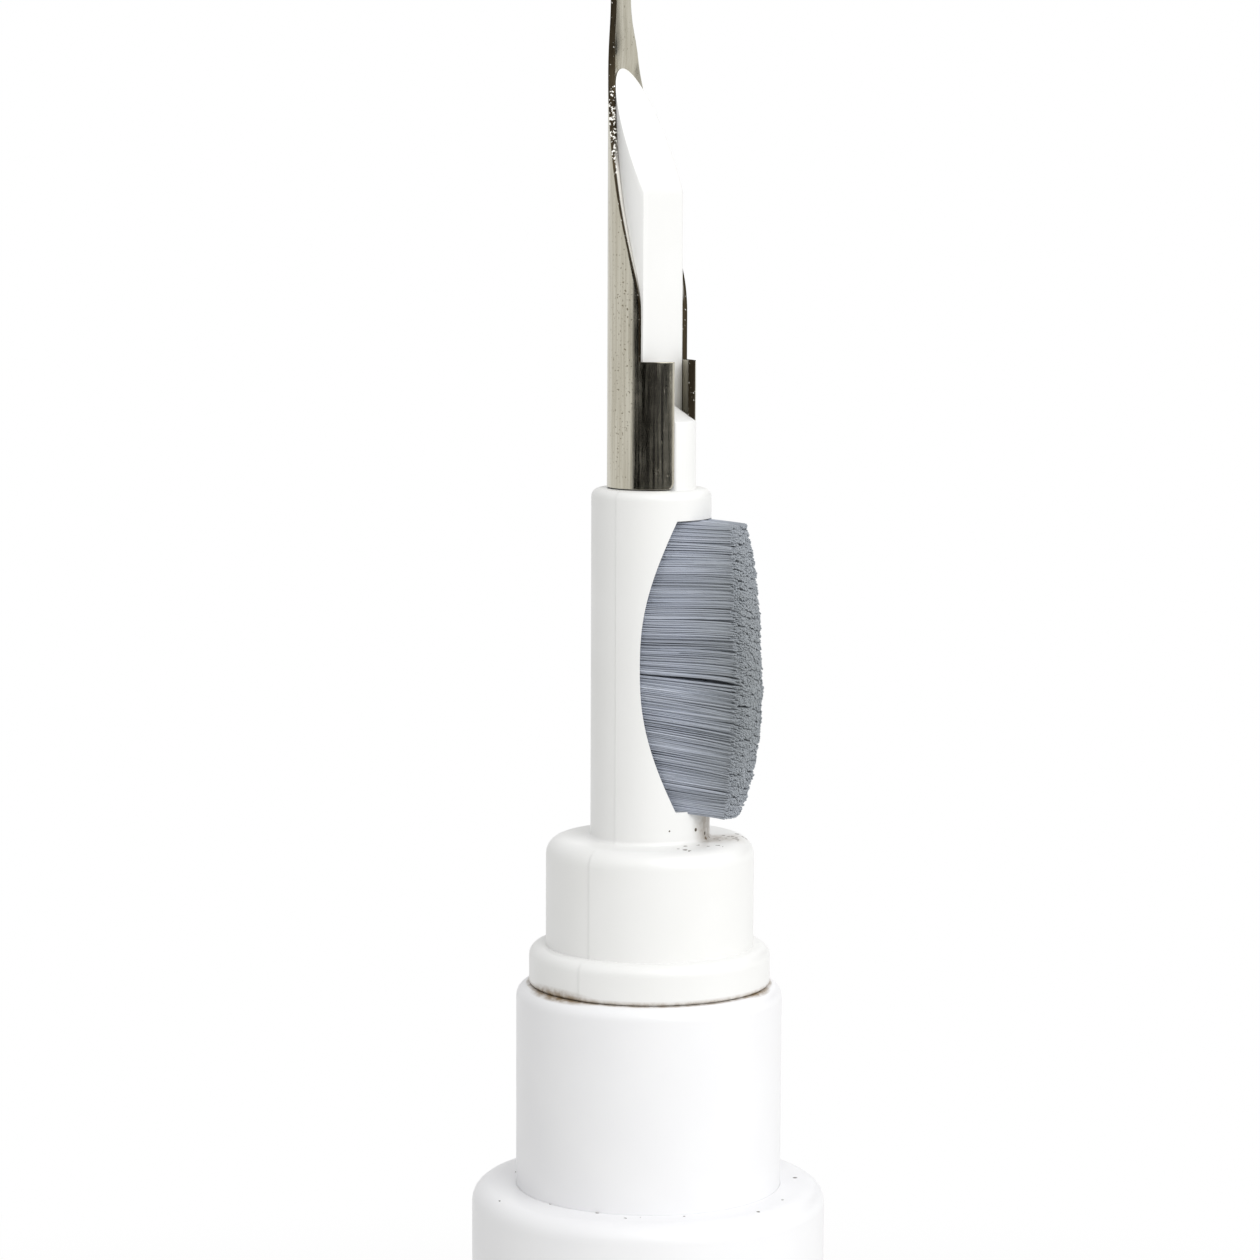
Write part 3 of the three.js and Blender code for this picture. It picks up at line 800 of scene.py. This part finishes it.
# The slanted part of the cut is rolled over at its inner side, which shines.
ROLLED_MIDDLE = SHAFT_TOP + 10.6
ROLLED_HALF_HEIGHT = 3.2
ROLLED_FULL_HALF_HEIGHT = 0.6 * ROLLED_HALF_HEIGHT
ROLLED_FROM = NIB_RADIUS - 0.4 * SHEET
ROLLED_FULL_FROM = NIB_RADIUS - 0.6 * SHEET
add = Nodes(sheared.node_tree)
cut_colour = sheared.node_tree.nodes["Principled BSDF"].inputs["Base Color"].links[0].from_socket
cut_place = add("ShaderNodeTexCoord", {}).node.outputs["Object"]
cut_flat = add.vectors("MULTIPLY", cut_place, (1, 1, 0))
cut_radius = add.vectors("LENGTH", cut_flat)
rolled = add.ranged(cut_radius, (ROLLED_FROM * MM, ROLLED_FULL_FROM * MM))
cut_height = add("ShaderNodeSeparateXYZ", {"Vector": cut_place}).node.outputs["Z"]
off_slant = add.math("SUBTRACT", cut_height, ROLLED_MIDDLE * MM)
off_slant = add.math("ABSOLUTE", off_slant)
on_slant = add.ranged(off_slant, (ROLLED_HALF_HEIGHT * MM, ROLLED_FULL_HALF_HEIGHT * MM))
rolled = add.math("MULTIPLY", rolled, on_slant)
cut_colour = add.mixed(rolled, cut_colour, BURR_BRIGHT)
shaded(sheared, {"Base Color": cut_colour})

steel_nib = placed("steel_nib", nib_sheet())
steel_nib.data.materials.append(nickel)
steel_nib.data.materials.append(sheared)
wall = steel_nib.modifiers.new("wall", "SOLIDIFY")
wall.thickness = SHEET * MM
wall.offset = -1
wall.use_even_offset = True
wall.material_offset_rim = 1
cut_edge = steel_nib.modifiers.new("cut_edge", "BEVEL")
cut_edge.width = CUT_EDGE_BEVEL * MM
cut_edge.segments = CUT_EDGE_STEPS
cut_edge.limit_method = "ANGLE"
cut_edge.angle_limit = CUT_EDGE_ANGLE
steel_nib.data = smoothed(evaluated_mesh(steel_nib))
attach(steel_nib, "tool_head")
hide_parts("scraper_nib")

# Side brush
# Two dense tufts of fine grey-blue nylon filament, stapled one above the other in the lens-shaped
# socket and trimmed to a flat dome. Use has combed them to one side and bent the tips at the parting.
TUFT_INSET = 0.12
BACKING_NEAR = 0.4
BACKING_FAR = 0.85
FRONT_FACING = 0.9
SOCKET_FACE_MIDDLE = 2.1
SOCKET_FACE_SIDE = 1.0
BRISTLE_REACH = 4.62
SIDE_ROUND = 0.45
SIDE_POWER = 3.0
SIDE_RAGGED = 0.4
FIBRE_DIAMETER = 0.086
FIBRE_SPACING = 0.057
MOST_PER_SPACING = 5
FIBRE_SIDES = 3
FIBRE_POINTS = 7
FIBRE_MIDDLE_SHARE = 0.8
FIBRE_TIP_FLARE = 1.05
FLARE_FROM = 0.7
FIBRE_WANDER = 0.008
SHORTEST_FIBRE = 0.99
BOW_PEAK = 0.25
PARTING_SHARE = -0.045
PARTING_HALF_GAP = 0.008
COMBED_ASIDE = 0.6
DRAWN_IN = 0.5
CLUMP_SIZE = 0.3
CLUMP_WIDTH_SHARE = 0.25
CLUMP_PULL = 0.24
CLUMP_POWER = 2.5
CLUMP_TRIM = 0.035 * MM
SWAY_SIZE = 0.9
SWAY = 0.22 * MM
DROOP_SHARE = 0.9
DROOP_ACROSS = 0.9
BEND_POWER = 4.0
TIP_FALL = 0.04

# Dyed nylon filament: each fibre is a little lighter or darker than the next, in locks, bluish along
# its side and greyer with dust towards its cut tip.
NYLON_LIGHT = "#c3c9d5"
NYLON_DARK = "#aab0bd"
NYLON_LOCK = "#8a909b"
NYLON_TIP = "#93989a"
LOCK_SIZE = 0.4
LOCK_BREAKS = (0.45, 0.65)
DARKEST_LOCK = 0.6
DUST_FROM = 2.4
DUSTIEST_TIP = 0.85
NYLON_ROUGHNESS = (0.42, 0.58)
NYLON_IOR = 1.53

nylon, add, nylon_place = new_material("dyed_nylon_filament")
fibre_tone = add("ShaderNodeAttribute", {}, attribute_name="fibre_tone").node.outputs["Fac"]
fibre_root = add("ShaderNodeAttribute", {}, attribute_name="fibre_root").node.outputs["Vector"]
nylon_depth = add("ShaderNodeSeparateXYZ", {"Vector": nylon_place}).node.outputs["Y"]
nylon_colour = add.mixed(fibre_tone, NYLON_DARK, NYLON_LIGHT)
lock_noise = add.noise(fibre_root, LOCK_SIZE, 3.0)
dark_lock = add.ranged(lock_noise, LOCK_BREAKS, (0, DARKEST_LOCK))
nylon_colour = add.mixed(dark_lock, nylon_colour, NYLON_LOCK)
dusty_tip = add.ranged(nylon_depth, (-DUST_FROM * MM, -BRISTLE_REACH * MM), (0, DUSTIEST_TIP))
nylon_colour = add.mixed(dusty_tip, nylon_colour, NYLON_TIP)
nylon_gloss = add.ranged(fibre_tone, after=NYLON_ROUGHNESS)
shaded(nylon, {"Base Color": nylon_colour, "Roughness": nylon_gloss, "IOR": NYLON_IOR})

tuft_tree, add, tuft_in, tuft_ids = new_tree("bristle_tuft", {
    "Spacing": "Float",
    "Most Per Area": "Float",
    "Fibre Radius": "Float",
    "Fibre End": "Vector",
    "Parting Height": "Float",
    "End Height": "Float",
    "Rise At Parting": "Float",
    "Rise At End": "Float",
    "Middle Bow": "Float",
    "Dome": "Float",
    "Droop": "Float",
    "Seed": "Int",
})

# Roots all over the front face of the backing, and one fibre to stand on each of them.
facing = add("GeometryNodeInputNormal", {})
forward = add.vectors("DOT_PRODUCT", facing, (0, -1, 0))
front_face = add.math("GREATER_THAN", forward, FRONT_FACING)
roots = add("GeometryNodeDistributePointsOnFaces", {
    "Mesh": tuft_in["Geometry"],
    "Selection": front_face,
    "Distance Min": tuft_in["Spacing"],
    "Density Max": tuft_in["Most Per Area"],
    "Seed": tuft_in["Seed"],
}, distribute_method="POISSON")
fibre_middle = add.scaled(tuft_in["Fibre End"], FIBRE_MIDDLE_SHARE)
fibre = add("GeometryNodeCurveQuadraticBezier", {
    "Resolution": FIBRE_POINTS - 1,
    "Start": (0, 0, 0),
    "Middle": fibre_middle,
    "End": tuft_in["Fibre End"],
})
fibre_round = add("GeometryNodeCurvePrimitiveCircle", {
    "Resolution": FIBRE_SIDES, "Radius": tuft_in["Fibre Radius"],
})
fibre_share = add("GeometryNodeSplineParameter", {})
fibre_flare = add.ranged(fibre_share, (FLARE_FROM, 1), (1.0, FIBRE_TIP_FLARE))
fibre = add("GeometryNodeCurveToMesh", {
    "Curve": fibre, "Profile Curve": fibre_round, "Scale": fibre_flare, "Fill Caps": True,
})
fibre = add("GeometryNodeSetShadeSmooth", {"Geometry": fibre})

# Each fibre has its own length, lean and tone, and keeps the place of its root.
trim = add.random((1, SHORTEST_FIBRE, 1), (1, 1, 1), tuft_in["Seed"])
wander = add.random(
    (-FIBRE_WANDER, 0, -FIBRE_WANDER), (FIBRE_WANDER, 2 * math.pi, FIBRE_WANDER), tuft_in["Seed"],
)
tone = add("FunctionNodeRandomValue", {"Seed": tuft_in["Seed"]})
here = add("GeometryNodeInputPosition", {})
fibres = add("GeometryNodeInstanceOnPoints", {
    "Points": roots, "Instance": fibre, "Rotation": wander, "Scale": trim,
})
fibres = add("GeometryNodeStoreNamedAttribute", {
    "Geometry": fibres, "Name": "fibre_tone", "Value": tone,
}, data_type="FLOAT", domain="INSTANCE")
fibres = add("GeometryNodeStoreNamedAttribute", {
    "Geometry": fibres, "Name": "fibre_root", "Value": here,
}, data_type="FLOAT_VECTOR", domain="INSTANCE")
fibres = add("GeometryNodeRealizeInstances", {"Geometry": fibres})

# How far along its free length a point of a fibre is: nothing in the socket, one at the tip.
root = add("GeometryNodeInputNamedAttribute", {"Name": "fibre_root"}, data_type="FLOAT_VECTOR")
root_split = add("ShaderNodeSeparateXYZ", {"Vector": root}).node.outputs
from_middle = add.math("ABSOLUTE", root_split["X"])
face_depth = add.ranged(
    from_middle, (0, SHAFT_RADIUS * MM), (SOCKET_FACE_MIDDLE * MM, SOCKET_FACE_SIDE * MM),
)
depth = add.vectors("DOT_PRODUCT", here, (0, -1, 0))
along = add.ranged(depth, (face_depth, BRISTLE_REACH * MM))
bend = add.math("POWER", along, BEND_POWER)
gather = add.math("POWER", along, CLUMP_POWER)

# The trim and the fan: tips drawn in and combed aside, shorter at the ends and sides, spread in height.
from_parting = add.ranged(root_split["Z"], (tuft_in["Parting Height"], tuft_in["End Height"]))
rise = add.ranged(from_parting, after=(tuft_in["Rise At Parting"], tuft_in["Rise At End"]))
parting_square = add.math("MULTIPLY", from_parting, from_parting)
off_both_ends = add.math("SUBTRACT", from_parting, parting_square)
rise = add.math("MULTIPLY_ADD", off_both_ends, tuft_in["Middle Bow"], rise)
aside = add.math("MULTIPLY_ADD", root_split["X"], -DRAWN_IN, COMBED_ASIDE * MM)
end_trim = add.math("MULTIPLY", parting_square, tuft_in["Dome"])
side_trim = add.math("DIVIDE", from_middle, LENS_HALF_WIDTH * MM)
side_trim = add.math("POWER", side_trim, SIDE_POWER)
own_draw = add("GeometryNodeInputNamedAttribute", {"Name": "fibre_tone"}, data_type="FLOAT")
ragged = add.ranged(own_draw, after=(1 - SIDE_RAGGED, 1 + SIDE_RAGGED))
side_trim = add.math("MULTIPLY", side_trim, ragged)
shorter = add.math("MULTIPLY_ADD", side_trim, SIDE_ROUND * MM, end_trim)
fan = add("ShaderNodeCombineXYZ", {"X": aside, "Y": shorter, "Z": rise})
fan = add.scaled(fan, along)

# The bent tips: drawn into small clumps, swayed together and drooping at the parting.
flat_root = add.vectors("MULTIPLY", root, (1, 0, 1))
clump_root = add.vectors("MULTIPLY", root, (CLUMP_WIDTH_SHARE, 0, 1))
clump = add("ShaderNodeTexVoronoi", {"Vector": clump_root, "Scale": 1 / (CLUMP_SIZE * MM)}).node.outputs
to_clump = add.vectors("SUBTRACT", clump["Position"], clump_root)
clump_trim = add.vectors("MULTIPLY", clump["Color"], (0, CLUMP_TRIM, 0))
sway = add.noise(flat_root, SWAY_SIZE, 1.0).node.outputs["Color"]
sway = add.vectors("MULTIPLY_ADD", sway, (SWAY, 0, SWAY), (-SWAY / 2, 0, -SWAY / 2))
tips = add.vectors("ADD", sway, clump_trim)
gathered = add.vectors("MULTIPLY", to_clump, (0, 0, CLUMP_PULL))
gathered = add.scaled(gathered, gather)
fall = add.ranged(from_parting, (DROOP_SHARE, 0.0), (TIP_FALL * MM, tuft_in["Droop"]))
across = add.math("MULTIPLY_ADD", root_split["X"], DROOP_ACROSS / (LENS_HALF_WIDTH * MM), 1.0)
fall = add.math("MULTIPLY", fall, across)
fall = add("ShaderNodeCombineXYZ", {"Z": fall})
tips = add.vectors("SUBTRACT", tips, fall)
tips = add.scaled(tips, bend)

move = add.vectors("ADD", fan, tips)
move = add.vectors("ADD", move, gathered)
fibres = add("GeometryNodeSetPosition", {"Geometry": fibres, "Offset": move})
tuft = add("GeometryNodeJoinGeometry", {"Geometry": fibres})
add.connect(tuft.node, {"Geometry": tuft_in["Geometry"]})
end_tree(add, tuft_in, tuft)

# For each tuft: its shares of the lens, how far its tips rise at the parting, at the end and midway
# between them, how much shorter they are at the end, how far they droop at the parting, and its seed.
TUFTS = (
    ("bristles_upper", "brush_tuft_upper", (PARTING_SHARE + PARTING_HALF_GAP, 1.0),
     (-0.16, -0.14), 0.22, 0.72, 0.6, 3),
    ("bristles_lower", "brush_tuft_lower", (-1.0, PARTING_SHARE - PARTING_HALF_GAP),
     (-0.34, -0.26), -0.2, 0.95, 0.15, 8),
)
for tuft_name, node_name, shares, rises, bow, dome, droop, seed in TUFTS:
    bristles = placed(tuft_name, lens_block(*shares, TUFT_INSET, BACKING_NEAR, BACKING_FAR))
    end_share = max(shares, key=abs)
    formed(bristles, tuft_tree, tuft_ids, {
        "Spacing": FIBRE_SPACING * MM,
        "Most Per Area": MOST_PER_SPACING / (FIBRE_SPACING * MM) ** 2,
        "Fibre Radius": FIBRE_DIAMETER / 2 * MM,
        "Fibre End": (0, -(BRISTLE_REACH - BACKING_FAR) * MM, 0),
        "Parting Height": (LENS_MIDDLE + PARTING_SHARE * LENS_HALF_LENGTH) * MM,
        "End Height": (LENS_MIDDLE + end_share * LENS_HALF_LENGTH) * MM,
        "Rise At Parting": rises[0] * MM,
        "Rise At End": rises[1] * MM,
        "Middle Bow": bow / BOW_PEAK * MM,
        "Dome": dome * MM,
        "Droop": droop * MM,
        "Seed": seed,
        "Material": nylon,
    })
    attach(bristles, "tool_head")
    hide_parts(node_name)

# Sponge holder
# The same push-in plug as on the head, moulded in white ABS with a short collar and a plain stem.
# It is pressed into the rear end of the tube, and the sponge is pushed on its stem.
HOLDER = REAR_RIM - FLANGE_GAP
HOLDER_FLANGE_END = HOLDER - FLANGE_THICKNESS
STEM_COLLAR_RADIUS = 2.6
STEM_COLLAR_LENGTH = 0.8
STEM_COLLAR_END = HOLDER_FLANGE_END - STEM_COLLAR_LENGTH
STEM_RADIUS = 1.5
STEM_LENGTH = 8.0
STEM_END = STEM_COLLAR_END - STEM_LENGTH
STEM_ROUND = 0.5

sponge_plug = placed("sponge_plug", turned([
    (0, HOLDER, 0),
    (HOLLOW_RADIUS, HOLDER, HOLLOW_ROUND),
    (HOLLOW_RADIUS, HOLDER + PLUG_DEPTH, 0),
    (PLUG_RADIUS, HOLDER + PLUG_DEPTH, PLUG_LEAD_IN),
    (PLUG_RADIUS, HOLDER, 0),
    (FLANGE_RADIUS, HOLDER, FLANGE_FOOT_ROUND),
    (FLANGE_RADIUS, HOLDER_FLANGE_END, FLANGE_ROUND),
    (STEM_COLLAR_RADIUS, HOLDER_FLANGE_END, 0),
    (STEM_COLLAR_RADIUS, STEM_COLLAR_END, SEAM_ROUND),
    (STEM_RADIUS, STEM_COLLAR_END, 0),
    (STEM_RADIUS, STEM_END, STEM_ROUND),
    (0, STEM_END, 0),
]))
holder_abs = white_abs("moulded_white_abs_holder", [ring_patch(HOLDER, 0.16, 0.4, 0.0)])
holder_ribs = crush_ribs(HOLDER + RIB_GAP + RIB_LENGTH / 2, holder_abs)
joined(sponge_plug, holder_abs, ("UNION", holder_ribs))
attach(sponge_plug, "barrel")
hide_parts("sponge_holder")

# Flocked sponge
# A blunt bullet of dense grey foam with a blind bore, pushed on the stem. Its skin is flocked: short
# fibres stand on glue all over it and give it a dark velvet nap.
sponge_low, sponge_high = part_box("flocked_sponge")
FLOCK_LENGTH = 0.26
NAP_ON_SIDE = 0.22
NAP_ON_NOSE = 0.25
SPONGE_RADIUS = sponge_high.x / MM - NAP_ON_SIDE
SPONGE_HEEL = sponge_high.z / MM
SPONGE_NOSE = sponge_low.z / MM + NAP_ON_NOSE
SPONGE_NOSE_ROUND = 2.85
SPONGE_HEEL_ROUND = 0.7
SPONGE_BORE_RADIUS = STEM_RADIUS + FIT_GAP
SPONGE_BORE_END = STEM_END - FIT_GAP
FOAM_LUMP = 0.05
FOAM_LUMP_SIZE = 1.3
FLOCK_RADIUS = 0.022
FLOCK_TIP_RADIUS = 0.005
FLOCK_PER_SQUARE_MM = 34
FLOCK_SIDES = 3
FLOCK_LEAN = 0.5
SHORTEST_FLOCK = 0.6
BARE_ROUND_BORE = 0.25
NOSE_BELOW_BORE = 0.5

# Flock over foam: matt charcoal fibres with a soft light bloom where the nap is seen edge on.
FLOCK_GREY = "#5a5d62"
FLOCK_DARK = "#3f4246"
FLOCK_CLOUD = 0.5
FLOCK_ROUGHNESS = (0.8, 1.0)
FLOCK_SHEEN = 0.35
FLOCK_SEED = 5

flock, add, flock_place = new_material("grey_flocked_foam")
flock_cloud = add.noise(flock_place, FLOCK_CLOUD, 4.0)
flock_colour = add.mixed(flock_cloud, FLOCK_DARK, FLOCK_GREY)
flock_rough = add.ranged(flock_cloud, after=FLOCK_ROUGHNESS)
shaded(flock, {"Base Color": flock_colour, "Roughness": flock_rough, "Sheen Weight": FLOCK_SHEEN})

nap_tree, add, nap_in, nap_ids = new_tree("flock_nap", {
    "Density": "Float",
    "Fibre Length": "Float",
    "Fibre Radius": "Float",
    "Lean": "Vector",
    "Lump": "Float",
    "Seed": "Int",
})

# The foam's skin is a little lumpy, and the nap stands on all of it outside the bore.
nap_place = add("GeometryNodeInputPosition", {})
lump = add.noise(nap_place, FOAM_LUMP_SIZE, 2.0)
lump = add.math("SUBTRACT", lump, 0.5)
lump = add.math("MULTIPLY", lump, nap_in["Lump"])
outward = add("GeometryNodeInputNormal", {})
swell = add.scaled(outward, lump)
foam_skin = add("GeometryNodeSetPosition", {"Geometry": nap_in["Geometry"], "Offset": swell})
nap_flat = add.vectors("MULTIPLY", nap_place, (1, 1, 0))
from_axis = add.vectors("LENGTH", nap_flat)
off_bore = add.math("GREATER_THAN", from_axis, (SPONGE_BORE_RADIUS + BARE_ROUND_BORE) * MM)
nap_height = add("ShaderNodeSeparateXYZ", {"Vector": nap_place}).node.outputs["Z"]
on_nose = add.math("LESS_THAN", nap_height, (SPONGE_BORE_END - NOSE_BELOW_BORE) * MM)
outside = add.math("MAXIMUM", off_bore, on_nose)
nap_points = add("GeometryNodeDistributePointsOnFaces", {
    "Mesh": foam_skin, "Selection": outside, "Density": nap_in["Density"], "Seed": nap_in["Seed"],
}).node.outputs
lean_back = add.scaled(nap_in["Lean"], -1.0)
nap_lean = add.random(lean_back, nap_in["Lean"], nap_in["Seed"])
nap_turn = add("FunctionNodeRotateRotation", {
    "Rotation": nap_points["Rotation"], "Rotate By": nap_lean,
}, rotation_space="LOCAL")
nap_fibre = add("GeometryNodeMeshCone", {
    "Vertices": FLOCK_SIDES,
    "Radius Top": FLOCK_TIP_RADIUS * MM,
    "Radius Bottom": nap_in["Fibre Radius"],
    "Depth": nap_in["Fibre Length"],
})
nap_length = add.random((1, 1, SHORTEST_FLOCK), (1, 1, 1), nap_in["Seed"])
nap = add("GeometryNodeInstanceOnPoints", {
    "Points": nap_points["Points"], "Instance": nap_fibre, "Rotation": nap_turn, "Scale": nap_length,
})
nap = add("GeometryNodeJoinGeometry", {"Geometry": nap})
add.connect(nap.node, {"Geometry": foam_skin})
nap = add("GeometryNodeRealizeInstances", {"Geometry": nap})
end_tree(add, nap_in, nap)

flock_sponge = placed("flock_sponge", turned([
    (0, SPONGE_BORE_END, 0),
    (SPONGE_BORE_RADIUS, SPONGE_BORE_END, 0),
    (SPONGE_BORE_RADIUS, SPONGE_HEEL, 0),
    (SPONGE_RADIUS, SPONGE_HEEL, SPONGE_HEEL_ROUND),
    (SPONGE_RADIUS, SPONGE_NOSE, SPONGE_NOSE_ROUND),
    (0, SPONGE_NOSE, 0),
], even_angles(COLUMNS // 2), longest=0.4))
formed(flock_sponge, nap_tree, nap_ids, {
    "Density": FLOCK_PER_SQUARE_MM / MM ** 2,
    "Fibre Length": FLOCK_LENGTH * MM,
    "Fibre Radius": FLOCK_RADIUS * MM,
    "Lean": (FLOCK_LEAN, FLOCK_LEAN, 0),
    "Lump": FOAM_LUMP * MM,
    "Seed": FLOCK_SEED,
    "Material": flock,
})
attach(flock_sponge, "barrel")
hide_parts("flocked_sponge")

# Rear cap
# A plain cup of white ABS that slides over the rear neck and covers the sponge. Its wall runs flush
# with the sleeve, and the pen stands on its flat end.
CAP_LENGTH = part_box("rear_cap")[1].z / MM
CAP_END_WALL = 1.8
CAP_END_ROUND = 1.2

cap_cup = placed("cap_cup", turned([
    (0, 0, 0),
    (BODY_RADIUS, 0, CAP_END_ROUND),
    (BODY_RADIUS, CAP_LENGTH, SEAM_ROUND),
    (SLEEVE_BORE_RADIUS, CAP_LENGTH, SEAM_ROUND),
    (SLEEVE_BORE_RADIUS, CAP_END_WALL, RIM_ROUND),
    (0, CAP_END_WALL, 0),
]))
cap_cup.data.materials.append(white_abs("moulded_white_abs_cap", [
    ring_patch(CAP_LENGTH, 0.15, 0.3, 0.0),
    ring_patch(0, 0.3, 0.08, 0.0),
]))
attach(cap_cup, "end_cap")
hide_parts("rear_cap")

# Studio
# A pale floor that runs out to white, one large soft lamp from the brush side and even light from all
# round. Dark cards stand round the pen for reflections alone, so that the nib reads as metal.
FLOOR_HALF_SIZE = 3000
FLOOR_DROP = 0.05
FLOOR_PALE = "#efefed"
FLOOR_SHADOW_REACH = 90
FLOOR_WHITE_FROM = 260
AMBIENT = 0.625
LAMP_AZIMUTH = -17
LAMP_ELEVATION = 40
LAMP_DISTANCE = 550
LAMP_SIZE = 500
LAMP_WATTS = 2.02
OBJECT_MIDDLE = 90
CARD_DARK = "#141310"
CARD_DISTANCE = 420
CARD_STEPS = 24
# For each card: the azimuths of its ends in degrees, and the heights of its edges.
CARDS = (
    ("dark_card", -105, -35, 2, 260),
    ("low_dark_card", -35, 3, 2, 118),
    ("side_dark_card", 64, 100, 118, 260),
)


def direction(azimuth, elevation=0):
    """The unit vector towards an azimuth and elevation in degrees; azimuth 0 is -Y."""
    a = math.radians(azimuth)
    e = math.radians(elevation)
    return Vector((math.sin(a) * math.cos(e), -math.cos(a) * math.cos(e), math.sin(e)))


def seen_white(add):
    """1 for rays from the camera and for what metal and glass show."""
    rays = add("ShaderNodeLightPath", {}).node.outputs
    mirror = add.math("MAXIMUM", rays["Is Glossy Ray"], rays["Is Transmission Ray"])
    return add.math("MAXIMUM", rays["Is Camera Ray"], mirror)


def emptied(owner):
    """What adds nodes to a new material or world, once its first nodes are gone."""
    owner.use_nodes = True
    owner.node_tree.nodes.clear()
    return Nodes(owner.node_tree)


def stage_sheet(name, points, faces, material):
    """A thin sheet of the studio from points in mm."""
    mesh = bpy.data.meshes.new(name)
    mesh.from_pydata([[size * MM for size in point] for point in points], [], faces)
    mesh.materials.append(material)
    return linked(name, mesh)


pale = bpy.data.materials.new("pale_floor")
add = emptied(pale)
floor_place = add("ShaderNodeTexCoord", {}).node.outputs["Object"]
floor_distance = add.vectors("LENGTH", floor_place)
run_out = add.ranged(
    floor_distance, (FLOOR_SHADOW_REACH * MM, FLOOR_WHITE_FROM * MM), interpolation_type="SMOOTHSTEP",
)
white_share = add.math("MULTIPLY", run_out, seen_white(add))
pale_surface = add("ShaderNodeBsdfDiffuse", {"Color": linear(FLOOR_PALE)})
white_glow = add("ShaderNodeEmission", {"Strength": 1.0})
floor_mix = add("ShaderNodeMixShader", {0: white_share, 1: pale_surface, 2: white_glow})
add("ShaderNodeOutputMaterial", {"Surface": floor_mix})
floor_corners = [
    (x * FLOOR_HALF_SIZE, y * FLOOR_HALF_SIZE, -FLOOR_DROP)
    for x, y in ((-1, -1), (1, -1), (1, 1), (-1, 1))
]
floor = stage_sheet("floor", floor_corners, [(0, 1, 2, 3)], pale)
# The pen stands on its rear cap, so the floor stays under the cap when that slides off.
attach(floor, "end_cap")

world = bpy.data.worlds.new("studio")
bpy.context.scene.world = world
add = emptied(world)
even_light = add("ShaderNodeBackground", {"Color": (1, 1, 1, 1), "Strength": AMBIENT})
white_wall = add("ShaderNodeBackground", {"Color": (1, 1, 1, 1), "Strength": 1.0})
world_mix = add("ShaderNodeMixShader", {0: seen_white(add), 1: even_light, 2: white_wall})
add("ShaderNodeOutputWorld", {"Surface": world_mix})

lamp = bpy.data.lights.new("soft_lamp", "AREA")
lamp.shape = "SQUARE"
lamp.size = LAMP_SIZE * MM
lamp.energy = LAMP_WATTS
soft_lamp = linked("soft_lamp", lamp)
to_lamp = direction(LAMP_AZIMUTH, LAMP_ELEVATION)
soft_lamp.location = (Vector((0, 0, OBJECT_MIDDLE)) + to_lamp * LAMP_DISTANCE) * MM
soft_lamp.rotation_euler = to_lamp.to_track_quat("Z", "Y").to_euler()

dark = bpy.data.materials.new("dark_paper")
add = emptied(dark)
dark_paper = add("ShaderNodeEmission", {"Color": linear(CARD_DARK), "Strength": 1.0})
add("ShaderNodeOutputMaterial", {"Surface": dark_paper})
card_faces = [(2 * k, 2 * k + 1, 2 * k + 3, 2 * k + 2) for k in range(CARD_STEPS)]
for card_name, first_azimuth, last_azimuth, card_low, card_high in CARDS:
    card_points = []
    for step in range(CARD_STEPS + 1):
        azimuth = first_azimuth + (last_azimuth - first_azimuth) * step / CARD_STEPS
        stand = direction(azimuth) * CARD_DISTANCE
        card_points += [(stand.x, stand.y, card_low), (stand.x, stand.y, card_high)]
    card = stage_sheet(card_name, card_points, card_faces, dark)
    card.visible_camera = False
    card.visible_diffuse = False
    card.visible_shadow = False
    card.visible_transmission = False

bpy.context.scene.view_settings.view_transform = "Standard"

# Camera
# A long lens close to the pen, on the side between the brush and the mould line, that looks slightly
# down on the head. The pen stands a little right of the middle and runs out of the frame below.
CAMERA_AZIMUTH = -55
CAMERA_DISTANCE = 156
CAMERA_HEIGHT = 111.2
CAMERA_ROLL = math.radians(0.25)
AIM_HEIGHT = 92.9
FRAME_PIXELS = 1260
FOCAL_PIXELS = 3900
SIDE_PIXELS = 20.5
SENSOR_WIDTH = 36
NEAREST_SEEN = 5

optics = bpy.data.cameras.new("camera")
optics.sensor_width = SENSOR_WIDTH
optics.lens = FOCAL_PIXELS / FRAME_PIXELS * SENSOR_WIDTH
optics.shift_x = -SIDE_PIXELS / FRAME_PIXELS
optics.clip_start = NEAREST_SEEN * MM
camera = linked("camera", optics)
camera.location = direction(CAMERA_AZIMUTH) * CAMERA_DISTANCE * MM + Vector((0, 0, CAMERA_HEIGHT * MM))
look = Vector((0, 0, AIM_HEIGHT * MM)) - camera.location
level = look.to_track_quat("-Z", "Y")
camera.rotation_euler = (level @ Quaternion((0, 0, 1), CAMERA_ROLL)).to_euler()
bpy.context.scene.camera = camera
